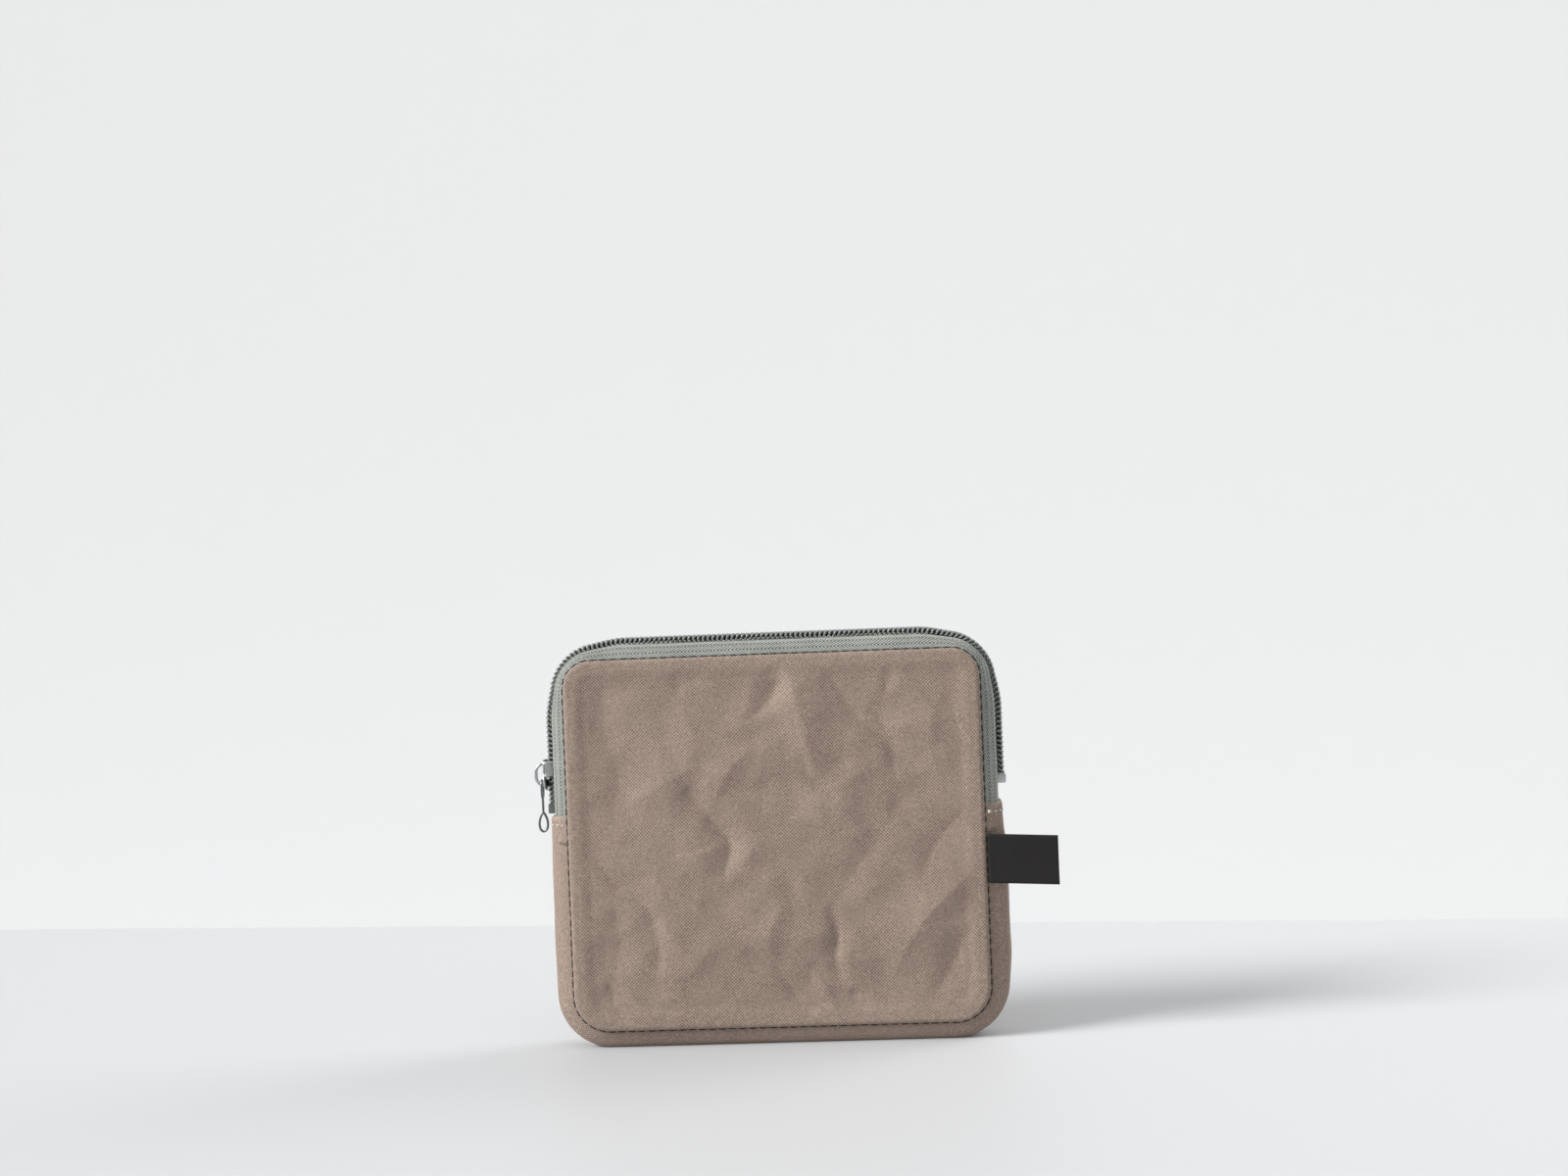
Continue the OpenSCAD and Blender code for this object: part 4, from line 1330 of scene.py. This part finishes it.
def build_end_stitches():
    """Makes the pale stitches across both ends of the side strip, and the knot at the right one."""
    from_seam, proud, knot_r = 0.65 * MM, 0.08 * MM, 0.56 * MM
    pitch, reach, thread = 1.75 * MM, 1.25 * MM, 0.46 * MM
    z = (TACK_LOW.z + TACK_HIGH.z) / 2
    y = np.linspace(-SEAM_Y + from_seam, SEAM_Y - from_seam, 61)
    rise = SEAM_HALF + bow(y, STRIP_BOW) + proud
    for name, sign in (("left", -1), ("right", 1)):
        line = np.stack([sign * rise, y, np.full(len(y), z)], -1)
        piece = stitch_row(name + "_end_thread", line, pitch, reach, thread, "light_thread")
        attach(piece, "root")
        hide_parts(name + "_end_stitches")
    centre = Vector((SEAM_HALF + 1.35 * MM, -SEAM_Y - 0.05 * MM, z))
    mesh = bpy.data.meshes.new("right_end_knot")
    with reworked(mesh) as work:
        bmesh.ops.create_icosphere(work, subdivisions=3, radius=knot_r)
        for vertex in work.verts:
            wound = 1 + 0.16 * math.sin(9 * vertex.co.z / knot_r + 4 * vertex.co.x / knot_r)
            vertex.co = vertex.co * wound + centre
    shade_smooth(mesh)
    knot = dress(make_object("right_end_knot", mesh), "light_thread")
    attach(knot, "root")


# ---------------------------------------------------------------- stage

def camera_place():
    """The camera's place and its axes, from the stage's values."""
    stage = bpy.context.scene.pouch_stage
    turn = Matrix.Rotation(stage.azimuth, 3, "Z")
    ahead = turn @ Vector((0, 1, 0))
    right = turn @ Vector((1, 0, 0))
    front = Vector((0, -SEAM_Y, 0))
    place = front - ahead * stage.distance + right * stage.sideways + Vector((0, 0, stage.height))
    return place, ahead, right


def build_stage():
    """Makes the table, the ground behind it, the wall, the light and the camera."""
    scene = bpy.context.scene
    stage = scene.pouch_stage
    place, ahead, right = camera_place()
    camera = bpy.data.cameras.new("camera")
    camera.lens = stage.lens
    camera.sensor_width = 36.0
    camera.clip_start = 0.01
    holder = bpy.data.objects.new("camera", camera)
    scene.collection.objects.link(holder)
    upright = Vector((0, 0, 1))
    up = upright * math.cos(stage.roll) + right * math.sin(stage.roll)
    side = right * math.cos(stage.roll) - upright * math.sin(stage.roll)
    frame_axes = Matrix((side, up, -ahead)).transposed()
    holder.matrix_world = Matrix.Translation(place) @ frame_axes.to_4x4()
    scene.camera = holder

    size, wall_gap, ground_drop = 4.0, 3.0, 0.7
    behind = place + ahead * stage.edge_distance
    run = right * math.cos(stage.edge_yaw) - ahead * math.sin(stage.edge_yaw)
    back = Vector((-run.y, run.x, 0))
    edge = [Vector((behind.x, behind.y, 0)) + run * d for d in (-size, size)]
    table = flat_object("table_top", [edge[0] - back * size, edge[1] - back * size, edge[1], edge[0]])
    table.data.materials.append(plaster_look("table_paint", tuple(stage.floor), 0.55))
    drop = Vector((0, 0, -ground_drop))
    ground = flat_object("ground", [corner + drop + back * push for corner, push in (
        (edge[0], -size), (edge[1], -size), (edge[1], wall_gap), (edge[0], wall_gap))])
    ground.data.materials.append(plaster_look("ground_paint", tuple(stage.floor), 0.9))
    foot = [corner + drop + back * wall_gap for corner in edge]
    rise = Vector((0, 0, size))
    wall = flat_object("wall", [foot[0], foot[1], foot[1] + rise, foot[0] + rise])
    wall.data.materials.append(plaster_look("wall_paint", tuple(stage.wall), 0.9))

    world = bpy.data.worlds.new("soft_room")
    world.use_nodes = True
    sky = world.node_tree.nodes["Background"]
    sky.inputs["Color"].default_value = (0.97, 0.985, 1.0, 1.0)
    sky.inputs["Strength"].default_value = 0.38
    scene.world = world
    # Each lamp's name, kind, place, power, and its angle (a sun's) or spread (an area's) in degrees.
    lamps = [("window", "SUN", (-4.2, -2.0, 2.9), 4.6, 24), ("ceiling", "AREA", (0.3, -1.0, 3.2), 20.0, 180),
             ("far_window", "AREA", (2.9, 1.5, 1.9), 12.0, 60)]
    for name, kind, spot, power, angle in lamps:
        light = bpy.data.lights.new(name, kind)
        light.energy = power
        if kind == "SUN":
            light.angle = math.radians(angle)
        else:
            light.size = 2.5
            light.spread = math.radians(angle)
        lamp = bpy.data.objects.new(name, light)
        lamp.location = spot
        aim = Vector((0, 0, 0.06)) - Vector(spot)
        lamp.rotation_euler = aim.to_track_quat("-Z", "Y").to_euler()
        scene.collection.objects.link(lamp)
    scene.view_settings.view_transform = "Standard"


def flat_object(name, corners):
    """A flat four-sided surface."""
    mesh = bpy.data.meshes.new(name)
    mesh.from_pydata([tuple(c) for c in corners], [], [(0, 1, 2, 3)])
    return make_object(name, mesh)


# ---------------------------------------------------------------- operators and panel

class POUCH_OT_panels(bpy.types.Operator):
    """Make the front and back panels."""
    bl_idname = "pouch.panels"
    bl_label = "Panels"

    def execute(self, context):
        build_panels()
        return {"FINISHED"}


class POUCH_OT_side_strip(bpy.types.Operator):
    """Make the side strip with its folded ends."""
    bl_idname = "pouch.side_strip"
    bl_label = "Side strip"

    def execute(self, context):
        build_side_strip()
        return {"FINISHED"}


class POUCH_OT_tapes(bpy.types.Operator):
    """Make the two zip tapes."""
    bl_idname = "pouch.tapes"
    bl_label = "Zip tapes"

    def execute(self, context):
        build_tapes()
        return {"FINISHED"}


class POUCH_OT_coils(bpy.types.Operator):
    """Make the two rows of the coil."""
    bl_idname = "pouch.coils"
    bl_label = "Zip coil"

    def execute(self, context):
        build_coils()
        build_coil_cores()
        build_coil_stitches()
        return {"FINISHED"}


class POUCH_OT_bindings(bpy.types.Operator):
    """Make the bindings over the raw edges inside."""
    bl_idname = "pouch.bindings"
    bl_label = "Bindings"

    def execute(self, context):
        build_bindings()
        return {"FINISHED"}


class POUCH_OT_seam_stitches(bpy.types.Operator):
    """Make the stitches round both seams."""
    bl_idname = "pouch.seam_stitches"
    bl_label = "Seam stitches"

    def execute(self, context):
        build_seam_stitches()
        return {"FINISHED"}


class POUCH_OT_end_stitches(bpy.types.Operator):
    """Make the pale stitches at the ends of the side strip, and the knot."""
    bl_idname = "pouch.end_stitches"
    bl_label = "End stitches"

    def execute(self, context):
        build_end_stitches()
        return {"FINISHED"}


class POUCH_OT_label(bpy.types.Operator):
    """Make the blank ribbon label."""
    bl_idname = "pouch.label"
    bl_label = "Side label"

    def execute(self, context):
        build_label()
        return {"FINISHED"}


class POUCH_OT_metal(bpy.types.Operator):
    """Make the slider, the pull and the stops."""
    bl_idname = "pouch.metal"
    bl_label = "Slider, pull and stops"

    def execute(self, context):
        build_metal()
        return {"FINISHED"}


class POUCH_OT_stage(bpy.types.Operator):
    """Make the table, the ground behind it, the wall, the light and the camera."""
    bl_idname = "pouch.stage"
    bl_label = "Stage"

    def execute(self, context):
        build_stage()
        return {"FINISHED"}


OPERATORS = [POUCH_OT_stage, POUCH_OT_panels, POUCH_OT_side_strip, POUCH_OT_tapes, POUCH_OT_coils,
             POUCH_OT_bindings, POUCH_OT_seam_stitches, POUCH_OT_end_stitches, POUCH_OT_label,
             POUCH_OT_metal]
GROUPS = {"pouch_cloth": PouchCloth, "pouch_zip": PouchZip, "pouch_colours": PouchColours,
          "pouch_stage": PouchStage}


class POUCH_PT_build(bpy.types.Panel):
    """Lists the pouch's pieces in the sidebar."""
    bl_idname = "POUCH_PT_build"
    bl_label = "Zippered Pouch"
    bl_space_type = "VIEW_3D"
    bl_region_type = "UI"
    bl_category = "Pouch"

    def draw(self, context):
        for operator in OPERATORS:
            self.layout.operator(operator.bl_idname)
        for group in GROUPS:
            sizes = getattr(context.scene, group)
            for name in sizes.bl_rna.properties.keys():
                if name not in ("rna_type", "name"):
                    self.layout.prop(sizes, name)


def register():
    for group in GROUPS.values():
        bpy.utils.register_class(group)
    for name, group in GROUPS.items():
        setattr(bpy.types.Scene, name, PointerProperty(type=group))
    for operator in OPERATORS:
        bpy.utils.register_class(operator)
    bpy.utils.register_class(POUCH_PT_build)


def unregister():
    bpy.utils.unregister_class(POUCH_PT_build)
    for operator in reversed(OPERATORS):
        bpy.utils.unregister_class(operator)
    for name in GROUPS:
        delattr(bpy.types.Scene, name)
    for group in reversed(list(GROUPS.values())):
        bpy.utils.unregister_class(group)


def main():
    register()
    bpy.ops.pouch.stage()
    bpy.ops.pouch.panels()
    bpy.ops.pouch.side_strip()
    bpy.ops.pouch.tapes()
    bpy.ops.pouch.coils()
    bpy.ops.pouch.bindings()
    bpy.ops.pouch.seam_stitches()
    bpy.ops.pouch.end_stitches()
    bpy.ops.pouch.label()
    bpy.ops.pouch.metal()


if __name__ == "__main__":
    main()
